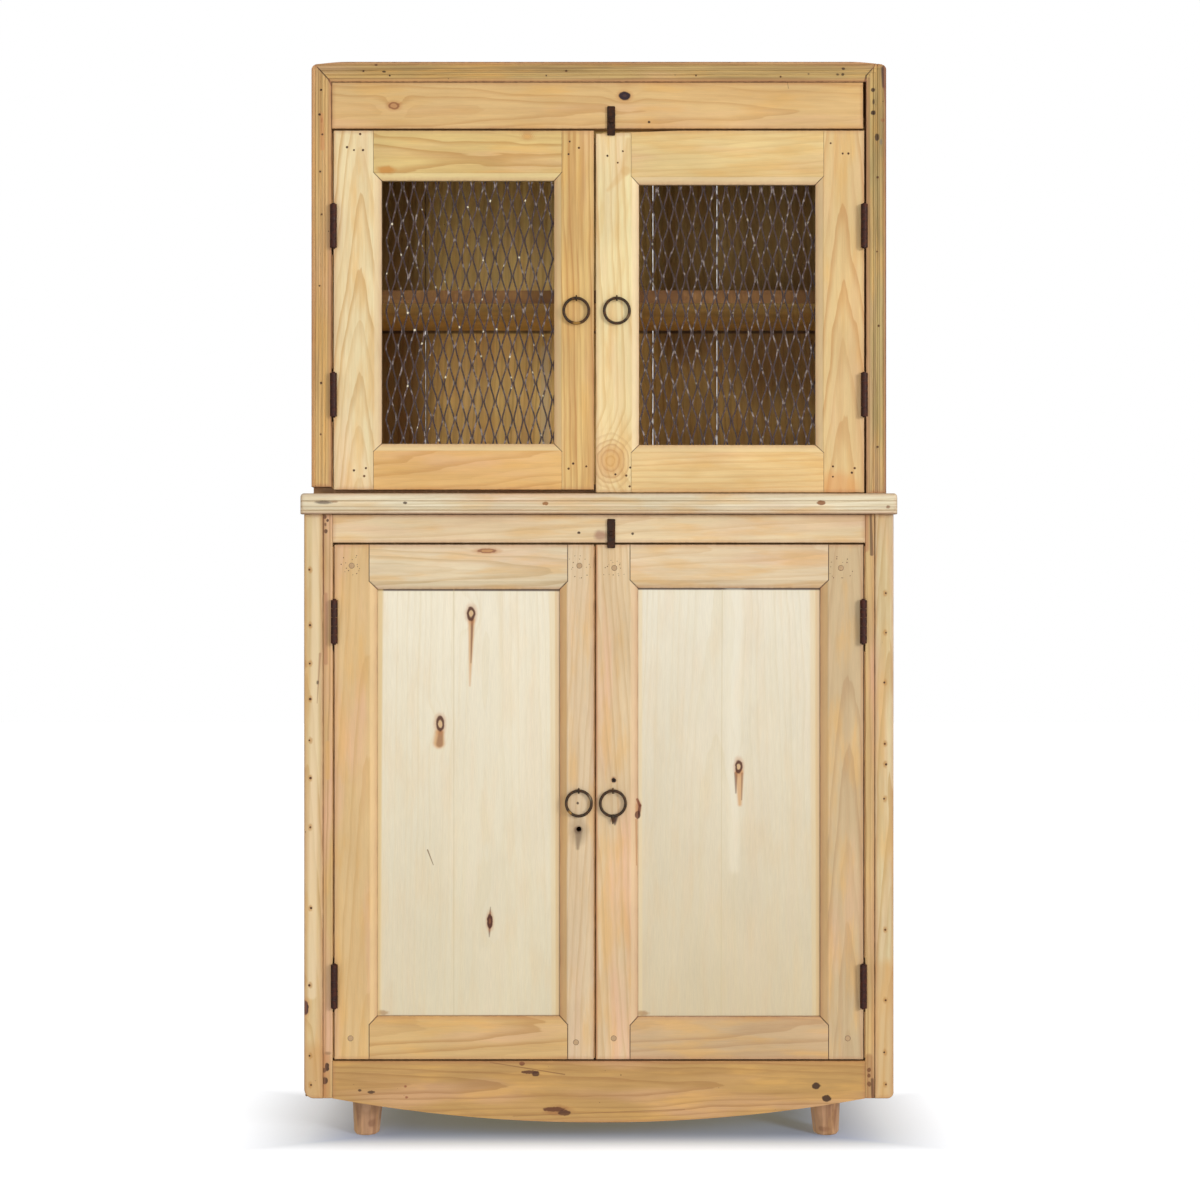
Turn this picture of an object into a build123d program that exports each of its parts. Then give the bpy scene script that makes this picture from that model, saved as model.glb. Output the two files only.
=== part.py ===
"""Two-part pine food cupboard: a mesh-fronted food safe standing on a panelled base.

Millimetres, +Z up, the front faces -Y, the origin is on the floor at the middle of the plan.
Every wooden board, iron hinge, ring pull and turn button is a solid of its own.
"""

from build123d import *
import math
import os

os.makedirs("parts", exist_ok=True)

# ---- overall size -------------------------------------------------------------------------
HEIGHT = 1892
DEPTH = 460
WAIST_HALF = 520
UPPER_HALF = 503
BASE_HALF = 515
BACK = DEPTH / 2
WAIST_FRONT = -DEPTH / 2

# ---- boards -------------------------------------------------------------------------------
SIDE = 20
PLANK = 12
RAIL = 23
DOOR = 22
SHELF = 23
HOUSING = 6
SOFT = 1.5
INSIDE_BACK = BACK - PLANK

# ---- upper unit ---------------------------------------------------------------------------
UPPER_DOOR_FRONT = -206
UPPER_STRIP_FRONT = UPPER_DOOR_FRONT - 2
STRIP = 35
STRIP_THICK = 26
UPPER_CARCASS_FRONT = UPPER_STRIP_FRONT + STRIP_THICK
UPPER_OPENING = UPPER_HALF - STRIP
UPPER_FLOOR = 1136
UPPER_HEADER_LOW = 1775.5
UPPER_HEADER_HIGH = HEIGHT - STRIP
UPPER_HEADER_RIGHT = 463
UPPER_SHELF_LOW = 1477
UPPER_SHELF_FRONT = -154
BOTTOM_BOARD = 18
STRIP_LOW_LEFT = 1148
CORNER_ROUND = 10
CROWN_DROP = 5
CROWN_RUN = 48
CROWN_RADIUS = 280
MITRE_RUN = {"left": STRIP, "right": 18}
REEDS = (12, 19, 29)
REED_RADIUS = 1.4
UPPER_PLANK_GAPS = {-340: 1.8, -94: 0.3, 105: 2.8, 231: 1.9}

# ---- waist and base -----------------------------------------------------------------------
WAIST_LOW = 1100
WAIST_BACK = -200
WAIST_GROOVES = (7, 22.5)
BASE_DOOR_FRONT = -214
BASE_POST_FRONT = BASE_DOOR_FRONT - 2
POST = 33
BASE_CARCASS_FRONT = -200
BASE_OPENING = 465.5
INNER_STRIP_BACK = -170
BASE_HEADER_LOW = 1050
BASE_LOW = 79
APRON_TOP = 144.5
APRON_END = 79
APRON_MIDDLE = 37
FLOOR_BOARD_LOW = 110
FLOOR_BOARD = 18
BASE_SHELF_LOW = 600
BASE_SHELF_FRONT = -150
BASE_PLANK_GAPS = {-345: 4, -172: 4, 8: 4, 176: 4, 342: 4}
POST_FOOT_ROUND = {"left": 17, "right": 11}

# ---- feet ---------------------------------------------------------------------------------
FOOT_X = (-414, 405)
FOOT_LEAN = 4
FOOT_FRONT_Y = -140
FOOT_BACK_Y = 150
FOOT_LOW_RADIUS = 22.5
FOOT_HIGH_RADIUS = 31
FOOT_SIDES = 10
FOOT_RIM = 6

# ---- door frames --------------------------------------------------------------------------
BEVEL = 14
BEVEL_DEPTH = 7
PANEL_FRONT = 9
PANEL = 7
PANEL_GROOVE = 8
PANEL_PLAY = 1
REBATE = 9
REBATE_DEPTH = 8
SHOULDER_GAP = 0.4
TENON_LENGTH = 38
TENON_INSET = 9
TENON = 7
HINGE_GAP = 3
MEETING_X = -7
MEETING_GAP = 3
TOP_PLANED_DROP = 6
TOP_PLANED_RUN = 185

# ---- expanded metal -----------------------------------------------------------------------
DIAMOND_WIDE = 20
DIAMOND_HIGH = 63
STRAND = 3
MESH_THICK = 2
MESH_BORDER = 6

# ---- hinges -------------------------------------------------------------------------------
HINGE_LENGTH = 76
KNUCKLES = 5
KNUCKLE_RADIUS = 6
KNUCKLE_PLAY = 0.4
PIN_RADIUS = 2.4
PIN_PLAY = 0.05
PIN_HEAD_RADIUS = 3.4
PIN_HEAD = 2
AXIS_PROUD = 7
LEAF = 1.3
LEAF_REACH = 23
LEAF_START = 6.5
LEAF_GAP = 0.4

# ---- ring pulls ---------------------------------------------------------------------------
RING_RADIUS = 22
RING_WIRE = 2.5
EYE_RADIUS = 4.2
EYE_WIRE = 1.2
EYE_PROUD = 5.6
SHANK_RADIUS = 1.5
SHANK_CLINCH = 3
DROP_RADIUS = 4
DROP_LENGTH = 12

# ---- turn buttons -------------------------------------------------------------------------
BUTTON_WIDE = 14
BUTTON_LONG = 51
BUTTON_THICK = 3
BUTTON_X = 21.5
UPPER_BUTTON_Z = 1788.5
LOWER_BUTTON_Z = 1066
SCREW_RADIUS = 2.5
SCREW_PLAY = 0.05
SCREW_HEAD_RADIUS = 4.6
SCREW_HEAD = 2.6
SCREW_DEPTH = 18
WASHER_RADIUS = 7
WASHER = 1
BUTTON_PLAY = 0.3

# ---- holes in the base doors --------------------------------------------------------------
KEYHOLE_X = -35
KEYHOLE_Z = 549.5
KEYHOLE_RADIUS = 4.5
OLD_HOLE_X = 26
OLD_HOLE_Z = 635
OLD_HOLE_RADIUS = 2.5
OLD_HOLE_DEPTH = 12

# Each door: its edges, the widths of its four frame pieces, and where its ring hangs.
# "low" and "high" are the bottom and top rails; "hand" is the side that the hinges are on.
UPPER_EDGE = UPPER_OPENING - HINGE_GAP
BASE_EDGE = BASE_OPENING - HINGE_GAP
LEFT_MEETING = MEETING_X - MEETING_GAP / 2
RIGHT_MEETING = MEETING_X + MEETING_GAP / 2
DOORS = {
    "upper_left": dict(
        hand=-1, x=(-UPPER_EDGE, LEFT_MEETING), z=(1143, 1772.5), front=UPPER_DOOR_FRONT,
        outer=84, inner=70, low=81, high=87, mesh=True, hinges=(1309, 1604), ring=(-39.5, 1456),
    ),
    "upper_right": dict(
        hand=1, x=(RIGHT_MEETING, UPPER_EDGE), z=(1138, 1772.5), front=UPPER_DOOR_FRONT,
        outer=85, inner=76, low=84, high=94, mesh=True, hinges=(1309, 1604), ring=(31.5, 1456),
    ),
    "base_left": dict(
        hand=-1, x=(-BASE_EDGE, LEFT_MEETING), z=(147, 1047), front=BASE_DOOR_FRONT,
        outer=75, inner=60, low=75, high=78, mesh=False, hinges=(276, 912), ring=(-35, 595),
    ),
    "base_right": dict(
        hand=1, x=(RIGHT_MEETING, BASE_EDGE), z=(147, 1047), front=BASE_DOOR_FRONT,
        outer=75, inner=74, low=74, high=76, mesh=False, hinges=(276, 912), ring=(24.5, 595),
    ),
}

nodes = {}


def block(x, y, z):
    """A plain box between two values on each axis."""
    size = [b - a for a, b in (x, y, z)]
    middle = [(a + b) / 2 for a, b in (x, y, z)]
    return Pos(*middle) * Box(*size)


def board(x, y, z, soft=SOFT):
    """A box with every edge slightly rounded, as on planed and worn pine."""
    solid = block(x, y, z)
    return fillet(solid.edges(), soft)


def front_plane(y):
    """A plane that faces the viewer: its own x is X and its own y is Z."""
    return Plane(origin=(0, y, 0), x_dir=(1, 0, 0), z_dir=(0, -1, 0))


def prism(points, y):
    """A flat outline of (x, z) points, extruded from the front value of y to the back one."""
    outline = make_face(Polyline(*points, close=True))
    return extrude(front_plane(y[1]) * outline, y[1] - y[0])


def front_rectangle(x, z, y):
    middle = Pos((x[0] + x[1]) / 2, (z[0] + z[1]) / 2)
    return front_plane(y) * middle * Rectangle(x[1] - x[0], z[1] - z[0])


def rod(centre, radius, length, axis):
    """A cylinder about its centre, along X, Y or Z."""
    turn = {"x": Rot(0, 90, 0), "y": Rot(90, 0, 0), "z": Rot(0, 0, 0)}[axis]
    return Pos(*centre) * turn * Cylinder(radius, length)


def group(solids):
    return Compound(children=list(solids))


# ---- carcass ------------------------------------------------------------------------------
def side_board(sign, half, y, z, shelf_low, shelf_thick, shelf_front):
    """An upright side with one housing cut for the shelf's end."""
    outer, inner = sign * half, sign * (half - SIDE)
    side = board(sorted((outer, inner)), y, z)
    housing_x = sorted((inner, inner + sign * HOUSING))
    housing = block(housing_x, (shelf_front, y[1]), (shelf_low, shelf_low + shelf_thick))
    return side - housing


def planks(half, gaps, z, y):
    """Upright back boards side by side: gaps gives the middle of each open joint and its width."""
    made = []
    left = -half
    for middle, gap in gaps.items():
        made.append(board((left, middle - gap / 2), y, z, 1))
        left = middle + gap / 2
    made.append(board((left, half), y, z, 1))
    return group(made)


def upper_outline():
    """The upper unit's front shape: a level top that is worn down towards its two small round corners."""
    right = [
        (UPPER_HALF - CROWN_RUN, HEIGHT),
        (UPPER_HALF, HEIGHT - CROWN_DROP),
        (UPPER_HALF, UPPER_FLOOR - 1),
    ]
    left = [(-x, z) for x, z in reversed(right)]
    solid = prism(left + right, (UPPER_STRIP_FRONT, BACK))
    crown = solid.edges().filter_by(Axis.Y).group_by(Axis.Z)[-1]
    solid = fillet(crown, CROWN_RADIUS)
    corners = solid.edges().filter_by(Axis.Y).group_by(Axis.Z)[1]
    return fillet(corners, CORNER_ROUND)


def reeded(solid, grooves):
    """Cuts round grooves along a moulding's front face."""
    for groove in grooves:
        solid -= groove
    return solid


def upper_strip(side, outline):
    """An upright reeded strip on the front edge of the upper side, mitred at its top."""
    sign = -1 if side == "left" else 1
    low = STRIP_LOW_LEFT if side == "left" else UPPER_FLOOR + 0.5
    inner, outer = sign * UPPER_OPENING, sign * UPPER_HALF
    tip = inner + sign * MITRE_RUN[side]
    points = [(inner, low), (outer, low), (outer, HEIGHT), (tip, HEIGHT), (inner, UPPER_HEADER_HIGH)]
    if tip == outer:
        points.remove((tip, HEIGHT))
    strip = prism(points, (UPPER_STRIP_FRONT, UPPER_CARCASS_FRONT)) & outline
    middle = (low + HEIGHT) / 2
    cuts = [
        rod((inner + sign * reed, UPPER_STRIP_FRONT, middle), REED_RADIUS, HEIGHT, "z") for reed in REEDS
    ]
    return reeded(strip, cuts)


def upper_top_strip(outline):
    """The reeded strip across the top, between the two mitres."""
    low = UPPER_HEADER_HIGH
    left_tip = -UPPER_OPENING - MITRE_RUN["left"]
    right_tip = UPPER_OPENING + MITRE_RUN["right"]
    points = [(-UPPER_OPENING, low), (UPPER_OPENING, low), (right_tip, HEIGHT), (left_tip, HEIGHT)]
    strip = prism(points, (UPPER_STRIP_FRONT, UPPER_CARCASS_FRONT)) & outline
    cuts = [
        rod((0, UPPER_STRIP_FRONT, low + reed), REED_RADIUS, 2 * UPPER_HALF, "x") for reed in REEDS
    ]
    return reeded(strip, cuts)


def make_upper_carcass():
    outline = upper_outline()
    depth = (UPPER_CARCASS_FRONT, INSIDE_BACK)
    top_board_low = HEIGHT - SIDE
    side_z = (UPPER_FLOOR + BOTTOM_BOARD, top_board_low)
    inner = UPPER_HALF - SIDE
    for name, sign in (("left", -1), ("right", 1)):
        nodes[f"upper_side_{name}"] = side_board(
            sign, UPPER_HALF, depth, side_z, UPPER_SHELF_LOW, SHELF, UPPER_SHELF_FRONT
        )
        nodes[f"upper_strip_{name}"] = upper_strip(name, outline)
    nodes["upper_strip_top"] = upper_top_strip(outline)
    full = (-UPPER_HALF, UPPER_HALF)
    top_z = (top_board_low, HEIGHT)
    nodes["upper_top_board"] = block(full, (UPPER_CARCASS_FRONT, BACK), top_z) & outline
    nodes["upper_bottom_board"] = board(full, depth, (UPPER_FLOOR, UPPER_FLOOR + BOTTOM_BOARD))
    plank_z = (UPPER_FLOOR + 1, top_board_low)
    nodes["upper_back_planks"] = planks(UPPER_HALF, UPPER_PLANK_GAPS, plank_z, (INSIDE_BACK, BACK))
    shelf_x = (-inner - HOUSING, inner + HOUSING)
    shelf_y = (UPPER_SHELF_FRONT, INSIDE_BACK)
    nodes["upper_shelf"] = block(shelf_x, shelf_y, (UPPER_SHELF_LOW, UPPER_SHELF_LOW + SHELF))
    header = board(
        (-UPPER_OPENING, UPPER_HEADER_RIGHT),
        (UPPER_DOOR_FRONT, UPPER_DOOR_FRONT + RAIL),
        (UPPER_HEADER_LOW, UPPER_HEADER_HIGH),
    )
    nodes["upper_header_rail"] = header - button_hole(UPPER_DOOR_FRONT, UPPER_BUTTON_Z)


def make_door_stops():
    """A batten behind each header rail, which the closed doors rest against."""
    upper_y = UPPER_DOOR_FRONT + RAIL
    base_y = BASE_DOOR_FRONT + RAIL
    thick, reach, rise = 14, 21, 25
    upper_z = (UPPER_HEADER_LOW - reach, UPPER_HEADER_LOW + rise)
    base_z = (BASE_HEADER_LOW - reach, BASE_HEADER_LOW + rise)
    nodes["door_stops"] = group(
        [
            board((-UPPER_OPENING, UPPER_OPENING), (upper_y, upper_y + thick), upper_z, 1),
            board((-BASE_OPENING, BASE_OPENING), (base_y, base_y + thick), base_z, 1),
        ]
    )


def make_waist():
    """The moulding across the joint of the two units, rounded at its ends and along its top."""
    solid = block((-WAIST_HALF, WAIST_HALF), (WAIST_FRONT, WAIST_BACK), (WAIST_LOW, UPPER_FLOOR))
    top_edge = solid.edges().filter_by(Axis.X).group_by(Axis.Z)[-1].sort_by(Axis.Y)[0]
    solid = fillet(top_edge, 8)
    ends = solid.edges().filter_by(Axis.Z).group_by(Axis.Y)[0]
    solid = fillet(ends, 6)
    cuts = [
        rod((0, WAIST_FRONT, WAIST_LOW + up), REED_RADIUS, 2 * WAIST_HALF, "x") for up in WAIST_GROOVES
    ]
    nodes["waist_moulding"] = reeded(solid, cuts)


def apron_shape():
    """The bottom rail, whose lower edge sags in one long arc."""
    half = BASE_OPENING
    ends = ((-half, APRON_END), (half, APRON_END))
    arc = ThreePointArc(ends[0], (0, APRON_MIDDLE), ends[1])
    sides = Polyline(ends[1], (half, APRON_TOP), (-half, APRON_TOP), ends[0])
    outline = make_face(Curve() + [arc, sides])
    back = BASE_DOOR_FRONT + RAIL
    solid = extrude(front_plane(back) * outline, RAIL)
    long_edges = solid.edges().filter_by(Axis.X).group_by(Axis.Y)[0]
    return fillet(long_edges, SOFT)


def foot(x, y):
    """A short stub foot, shaved to flats, narrower at the floor and upright on its outer side."""
    inward = -FOOT_LEAN if x > 0 else FOOT_LEAN
    low = RegularPolygon(FOOT_LOW_RADIUS, FOOT_SIDES)
    high = Pos(inward, 0, FLOOR_BOARD_LOW) * RegularPolygon(FOOT_HIGH_RADIUS, FOOT_SIDES)
    solid = loft([low, high])
    rim = solid.edges().group_by(Axis.Z)[0]
    return Pos(x, y, 0) * fillet(rim, FOOT_RIM)


def make_base_carcass():
    depth = (BASE_CARCASS_FRONT, INSIDE_BACK)
    top_low = UPPER_FLOOR - SIDE
    inner = BASE_HALF - SIDE
    post_z = (BASE_LOW, WAIST_LOW)
    strips = []
    for name, sign in (("left", -1), ("right", 1)):
        nodes[f"base_side_{name}"] = side_board(
            sign, BASE_HALF, depth, (BASE_LOW, top_low), BASE_SHELF_LOW, SIDE, BASE_SHELF_FRONT
        )
        post_x = sorted((sign * BASE_HALF, sign * (BASE_HALF - POST)))
        post = block(post_x, (BASE_POST_FRONT, BASE_CARCASS_FRONT), post_z)
        toe = post.edges().filter_by(Axis.Y).group_by(Axis.Z)[0].sort_by(Axis.X)
        outer_toe = toe[0] if sign < 0 else toe[-1]
        post = fillet(outer_toe, POST_FOOT_ROUND[name])
        long_edges = post.edges().filter_by(Axis.Z).group_by(Axis.Y)[0]
        nodes[f"base_post_{name}"] = fillet(long_edges, 2.5)
        strip_x = sorted((sign * BASE_OPENING, sign * (BASE_HALF - POST)))
        strips.append(board(strip_x, (BASE_DOOR_FRONT, INNER_STRIP_BACK), post_z))
    nodes["base_inner_strips"] = group(strips)
    header = board(
        (-BASE_OPENING, BASE_OPENING),
        (BASE_DOOR_FRONT, BASE_DOOR_FRONT + RAIL),
        (BASE_HEADER_LOW, WAIST_LOW - 0.5),
    )
    nodes["base_header_rail"] = header - button_hole(BASE_DOOR_FRONT, LOWER_BUTTON_Z)
    nodes["apron"] = apron_shape()
    full = (-BASE_HALF, BASE_HALF)
    nodes["base_top_board"] = board(full, (WAIST_BACK, BACK), (top_low, UPPER_FLOOR))
    floor_z = (FLOOR_BOARD_LOW, FLOOR_BOARD_LOW + FLOOR_BOARD)
    floor = block((-inner, inner), (BASE_DOOR_FRONT + RAIL, INSIDE_BACK), floor_z)
    for x in ((-inner, -BASE_OPENING), (BASE_OPENING, inner)):
        floor -= block(x, (BASE_DOOR_FRONT, INNER_STRIP_BACK), (BASE_LOW, WAIST_LOW))
    nodes["base_floor_board"] = floor
    shelf_x = (-inner - HOUSING, inner + HOUSING)
    nodes["base_shelf"] = block(
        shelf_x, (BASE_SHELF_FRONT, INSIDE_BACK), (BASE_SHELF_LOW, BASE_SHELF_LOW + SIDE)
    )
    nodes["base_back_planks"] = planks(BASE_HALF, BASE_PLANK_GAPS, (BASE_LOW, top_low), (INSIDE_BACK, BACK))
    nodes["feet"] = group(foot(x, y) for y in (FOOT_FRONT_Y, FOOT_BACK_Y) for x in FOOT_X)


# ---- doors --------------------------------------------------------------------------------
def door_board(door):
    """The door as one board, before its opening is cut and its four pieces are parted."""
    slab = board(door["x"], (door["front"], door["front"] + DOOR), door["z"])
    if door["mesh"] and door["hand"] > 0:
        left, top = door["x"][0], door["z"][1]
        planed = [(left - 1, top + 1), (left - 1, top - TOP_PLANED_DROP), (left + TOP_PLANED_RUN, top + 1)]
        slab -= prism(planed, (door["front"] - 1, door["front"] + DOOR + 1))
    return slab


def opening_of(door):
    """The edges of the door's opening: x and z."""
    left, right = (door["outer"], door["inner"]) if door["hand"] < 0 else (door["inner"], door["outer"])
    x = (door["x"][0] + left, door["x"][1] - right)
    z = (door["z"][0] + door["low"], door["z"][1] - door["high"])
    return x, z


def grown(span, amount):
    return (span[0] - amount, span[1] + amount)


def framed(door):
    """The slab with its opening, the bevel round it, and the groove or rebate behind the bevel."""
    x, z = opening_of(door)
    front, back = door["front"], door["front"] + DOOR
    slab = door_board(door) - block(x, (front - 1, back + 1), z)
    wide = front_rectangle(grown(x, BEVEL), grown(z, BEVEL), front)
    narrow = front_rectangle(x, z, front + BEVEL_DEPTH)
    slab -= loft([wide, narrow])
    if door["mesh"]:
        return slab - block(grown(x, REBATE), (back - REBATE_DEPTH, back + 1), grown(z, REBATE))
    groove_y = (front + PANEL_FRONT, front + PANEL_FRONT + PANEL)
    return slab - block(grown(x, PANEL_GROOVE), groove_y, grown(z, PANEL_GROOVE))


def tenons(door, side, level):
    """The tongue of one rail's end: 'side' is -1 at the left stile and 1 at the right one."""
    x, z = opening_of(door)
    shoulder = x[0] - BEVEL if side < 0 else x[1] + BEVEL
    tip = shoulder + side * TENON_LENGTH
    edges = (door["z"][0], z[0] - BEVEL) if level == "low" else (z[1] + BEVEL, door["z"][1])
    y = (door["front"] + PANEL_FRONT, door["front"] + PANEL_FRONT + TENON)
    return block(sorted((shoulder - side, tip)), y, (edges[0] + TENON_INSET, edges[1] - TENON_INSET))


def frame_pieces(name, door):
    """Parts the framed slab into two stiles and two rails, with a mitre across the bevel only."""
    x, z = opening_of(door)
    whole = framed(door)
    y = (door["front"] - 1, door["front"] + DOOR + 1)
    low, high = door["z"][0] - 1, door["z"][1] + 1
    for side in (-1, 1):
        edge = door["x"][0] - 1 if side < 0 else door["x"][1] + 1
        mouth = x[0] if side < 0 else x[1]
        joint = mouth + side * BEVEL
        points = [
            (edge, low), (joint, low), (joint, z[0] - BEVEL), (mouth, z[0]),
            (mouth, z[1]), (joint, z[1] + BEVEL), (joint, high), (edge, high),
        ]
        stile = whole & prism(points, y)
        for level in ("low", "high"):
            stile -= tenons(door, side, level)
        role = "outer" if side == door["hand"] else "inner"
        nodes[f"{name}_stile_{role}"] = with_holes(name, role, door, stile)
    gap = SHOULDER_GAP
    for level, edge, mouth in (("low", low, z[0]), ("high", high, z[1])):
        away = -1 if level == "low" else 1
        joint = mouth + away * BEVEL
        left, right = x[0] - BEVEL + gap, x[1] + BEVEL - gap
        points = [
            (left, edge),
            (left, joint),
            (x[0] + gap, mouth),
            (x[1] - gap, mouth),
            (right, joint),
            (right, edge),
        ]
        rail = whole & prism(points, y)
        for side in (-1, 1):
            rail += tenons(door, side, level)
        nodes[f"{name}_rail_{'bottom' if level == 'low' else 'top'}"] = rail


def with_holes(name, role, door, stile):
    """Bores the inner stile for its ring's staple, and cuts the base doors' keyhole and old hole."""
    if role == "outer":
        return stile
    ring_x, ring_z = door["ring"]
    middle = door["front"] + DOOR / 2
    stile -= rod((ring_x, middle, ring_z + RING_RADIUS), SHANK_RADIUS, 2 * DOOR, "y")
    if name == "base_left":
        stile -= rod((KEYHOLE_X, middle, KEYHOLE_Z), KEYHOLE_RADIUS, 2 * DOOR, "y")
    if name == "base_right":
        stile -= rod((OLD_HOLE_X, door["front"], OLD_HOLE_Z), OLD_HOLE_RADIUS, 2 * OLD_HOLE_DEPTH, "y")
    return stile


def door_panel(door):
    """The thin board that floats in the frame's groove."""
    x, z = opening_of(door)
    reach = PANEL_GROOVE - PANEL_PLAY
    y = (door["front"] + PANEL_FRONT, door["front"] + PANEL_FRONT + PANEL)
    return block(grown(x, reach), y, grown(z, reach))


def diamond():
    """One hole of the expanded metal: a tall lens, pointed at its top and bottom."""
    half_wide = (DIAMOND_WIDE - 1.2 * STRAND) / 2
    half_high = (DIAMOND_HIGH - 2.4 * STRAND) / 2
    bend_x, bend_z = 0.62 * half_wide, 0.34 * half_high
    quarter = [(0, -half_high), (bend_x, -bend_z), (half_wide, 0), (bend_x, bend_z)]
    points = quarter + [(-x, -z) for x, z in quarter]
    return make_face(Polyline(*points, close=True))


def door_mesh(door):
    """Expanded metal in the rebate: staggered columns of lens holes inside a plain border."""
    x, z = opening_of(door)
    back = door["front"] + DOOR
    outer = [grown(span, REBATE - 1) for span in (x, z)]
    inner = [grown(span, REBATE - 1 - MESH_BORDER) for span in (x, z)]
    window = Pos(sum(inner[0]) / 2, sum(inner[1]) / 2) * Rectangle(
        inner[0][1] - inner[0][0], inner[1][1] - inner[1][0]
    )
    columns = math.ceil((inner[0][1] - inner[0][0]) / DIAMOND_WIDE) + 1
    rows = math.ceil((inner[1][1] - inner[1][0]) / DIAMOND_HIGH) + 1
    lens = diamond()
    places = []
    for column in range(2 * columns):
        for row in range(rows):
            lift = DIAMOND_HIGH / 2 if column % 2 else 0
            places.append(
                Pos(inner[0][0] + column * DIAMOND_WIDE / 2, inner[1][0] + lift + row * DIAMOND_HIGH)
            )
    holes = Sketch() + [place * lens for place in places]
    sheet = Pos(sum(outer[0]) / 2, sum(outer[1]) / 2) * Rectangle(
        outer[0][1] - outer[0][0], outer[1][1] - outer[1][0]
    )
    lattice = sheet - (holes & window)
    front = back - REBATE_DEPTH
    return extrude(front_plane(front + MESH_THICK) * lattice, MESH_THICK)


# ---- ironwork -----------------------------------------------------------------------------
def hinge_halves(door, centre_z):
    """One butt hinge: the door's half, and the carcass's half with its pin."""
    sign = door["hand"]
    opening = UPPER_OPENING if door["mesh"] else BASE_OPENING
    axis_x = sign * (opening - HINGE_GAP - 1)
    axis_y = door["front"] - AXIS_PROUD
    low = centre_z - HINGE_LENGTH / 2
    pitch = HINGE_LENGTH / KNUCKLES
    plates = {"door": (1, 1 + LEAF), "carcass": (1 + LEAF + LEAF_GAP, 1 + HINGE_GAP)}
    bores = {"door": PIN_RADIUS + PIN_PLAY, "carcass": PIN_RADIUS}
    halves = {}
    for half, (near, far) in plates.items():
        plate_x = sorted((axis_x + sign * near, axis_x + sign * far))
        whole_z = (low, low + HINGE_LENGTH)
        solid = block(plate_x, (axis_y + LEAF_START, axis_y + LEAF_REACH), whole_z)
        first = 1 if half == "door" else 0
        for knuckle in range(first, KNUCKLES, 2):
            z = (low + knuckle * pitch + KNUCKLE_PLAY / 2, low + (knuckle + 1) * pitch - KNUCKLE_PLAY / 2)
            barrel = rod((axis_x, axis_y, sum(z) / 2), KNUCKLE_RADIUS, z[1] - z[0], "z")
            solid += barrel + block(plate_x, (axis_y, axis_y + LEAF_START), z)
        halves[half] = solid - rod((axis_x, axis_y, centre_z), bores[half], 2 * HINGE_LENGTH, "z")
    pin = rod((axis_x, axis_y, centre_z), PIN_RADIUS, HINGE_LENGTH, "z")
    for end in (-1, 1):
        head_z = centre_z + end * (HINGE_LENGTH + PIN_HEAD) / 2
        head = rod((axis_x, axis_y, head_z), PIN_HEAD_RADIUS, PIN_HEAD, "z")
        tip = head.edges().group_by(Axis.Z)[-1 if end > 0 else 0]
        pin += fillet(tip, PIN_HEAD * 0.8)
    return halves["door"], [halves["carcass"], pin]


def staple(door):
    """The eye that the ring hangs in, on a shank that goes through the stile."""
    x, z = door["ring"][0], door["ring"][1] + RING_RADIUS
    eye_y = door["front"] - EYE_PROUD
    eye = Pos(x, eye_y, z) * Rot(0, 90, 0) * Torus(EYE_RADIUS, EYE_WIRE)
    start = eye_y + EYE_RADIUS
    end = door["front"] + DOOR + SHANK_CLINCH
    shank = rod((x, (start + end) / 2, z), SHANK_RADIUS, end - start, "y")
    return eye + shank


def ring_pull(name, door):
    """An iron ring; one of them carries a small pointed drop at its bottom."""
    x, z = door["ring"]
    y = door["front"] - EYE_PROUD
    ring = Pos(x, y, z) * Rot(90, 0, 0) * Torus(RING_RADIUS, RING_WIRE)
    if name == "base_right":
        low = z - RING_RADIUS
        bead = Pos(x, y, low - 1) * Sphere(DROP_RADIUS)
        cone = Cone(DROP_RADIUS * 0.8, 0.8, DROP_LENGTH)
        point = Pos(x, y, low - DROP_LENGTH / 2 - 2) * Rot(180, 0, 0) * cone
        ring = ring + bead + point
    return ring


def button_hole(front, z):
    """The screw's hole in a header rail."""
    return rod((BUTTON_X, front + SCREW_DEPTH / 2 - 5, z), SCREW_RADIUS, SCREW_DEPTH + 10, "y")


def turn_button(front, z):
    """A flat iron bar with rounded corners that turns on a screw through its middle."""
    back = front - WASHER - BUTTON_PLAY
    x = (BUTTON_X - BUTTON_WIDE / 2, BUTTON_X + BUTTON_WIDE / 2)
    bar = block(x, (back - BUTTON_THICK, back), (z - BUTTON_LONG / 2, z + BUTTON_LONG / 2))
    bar = fillet(bar.edges().filter_by(Axis.Y), 2)
    bar = chamfer(bar.faces().sort_by(Axis.Y)[0].edges(), 0.6)
    return bar - rod((BUTTON_X, back, z), SCREW_RADIUS + SCREW_PLAY, 4 * BUTTON_THICK, "y")


def button_pivot(front, z):
    """The button's screw, and the washer that holds the button off the wood."""
    washer = rod((BUTTON_X, front - WASHER / 2, z), WASHER_RADIUS, WASHER, "y")
    washer -= rod((BUTTON_X, front, z), SCREW_RADIUS, 4 * WASHER, "y")
    head_back = front - WASHER - 2 * BUTTON_PLAY - BUTTON_THICK
    end = front + SCREW_DEPTH
    shank = rod((BUTTON_X, (head_back + end) / 2, z), SCREW_RADIUS, end - head_back, "y")
    head = rod((BUTTON_X, head_back - SCREW_HEAD / 2, z), SCREW_HEAD_RADIUS, SCREW_HEAD, "y")
    rim = head.edges().group_by(Axis.Y)[0]
    head = fillet(rim, SCREW_HEAD * 0.7)
    return [shank + head, washer]


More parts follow.
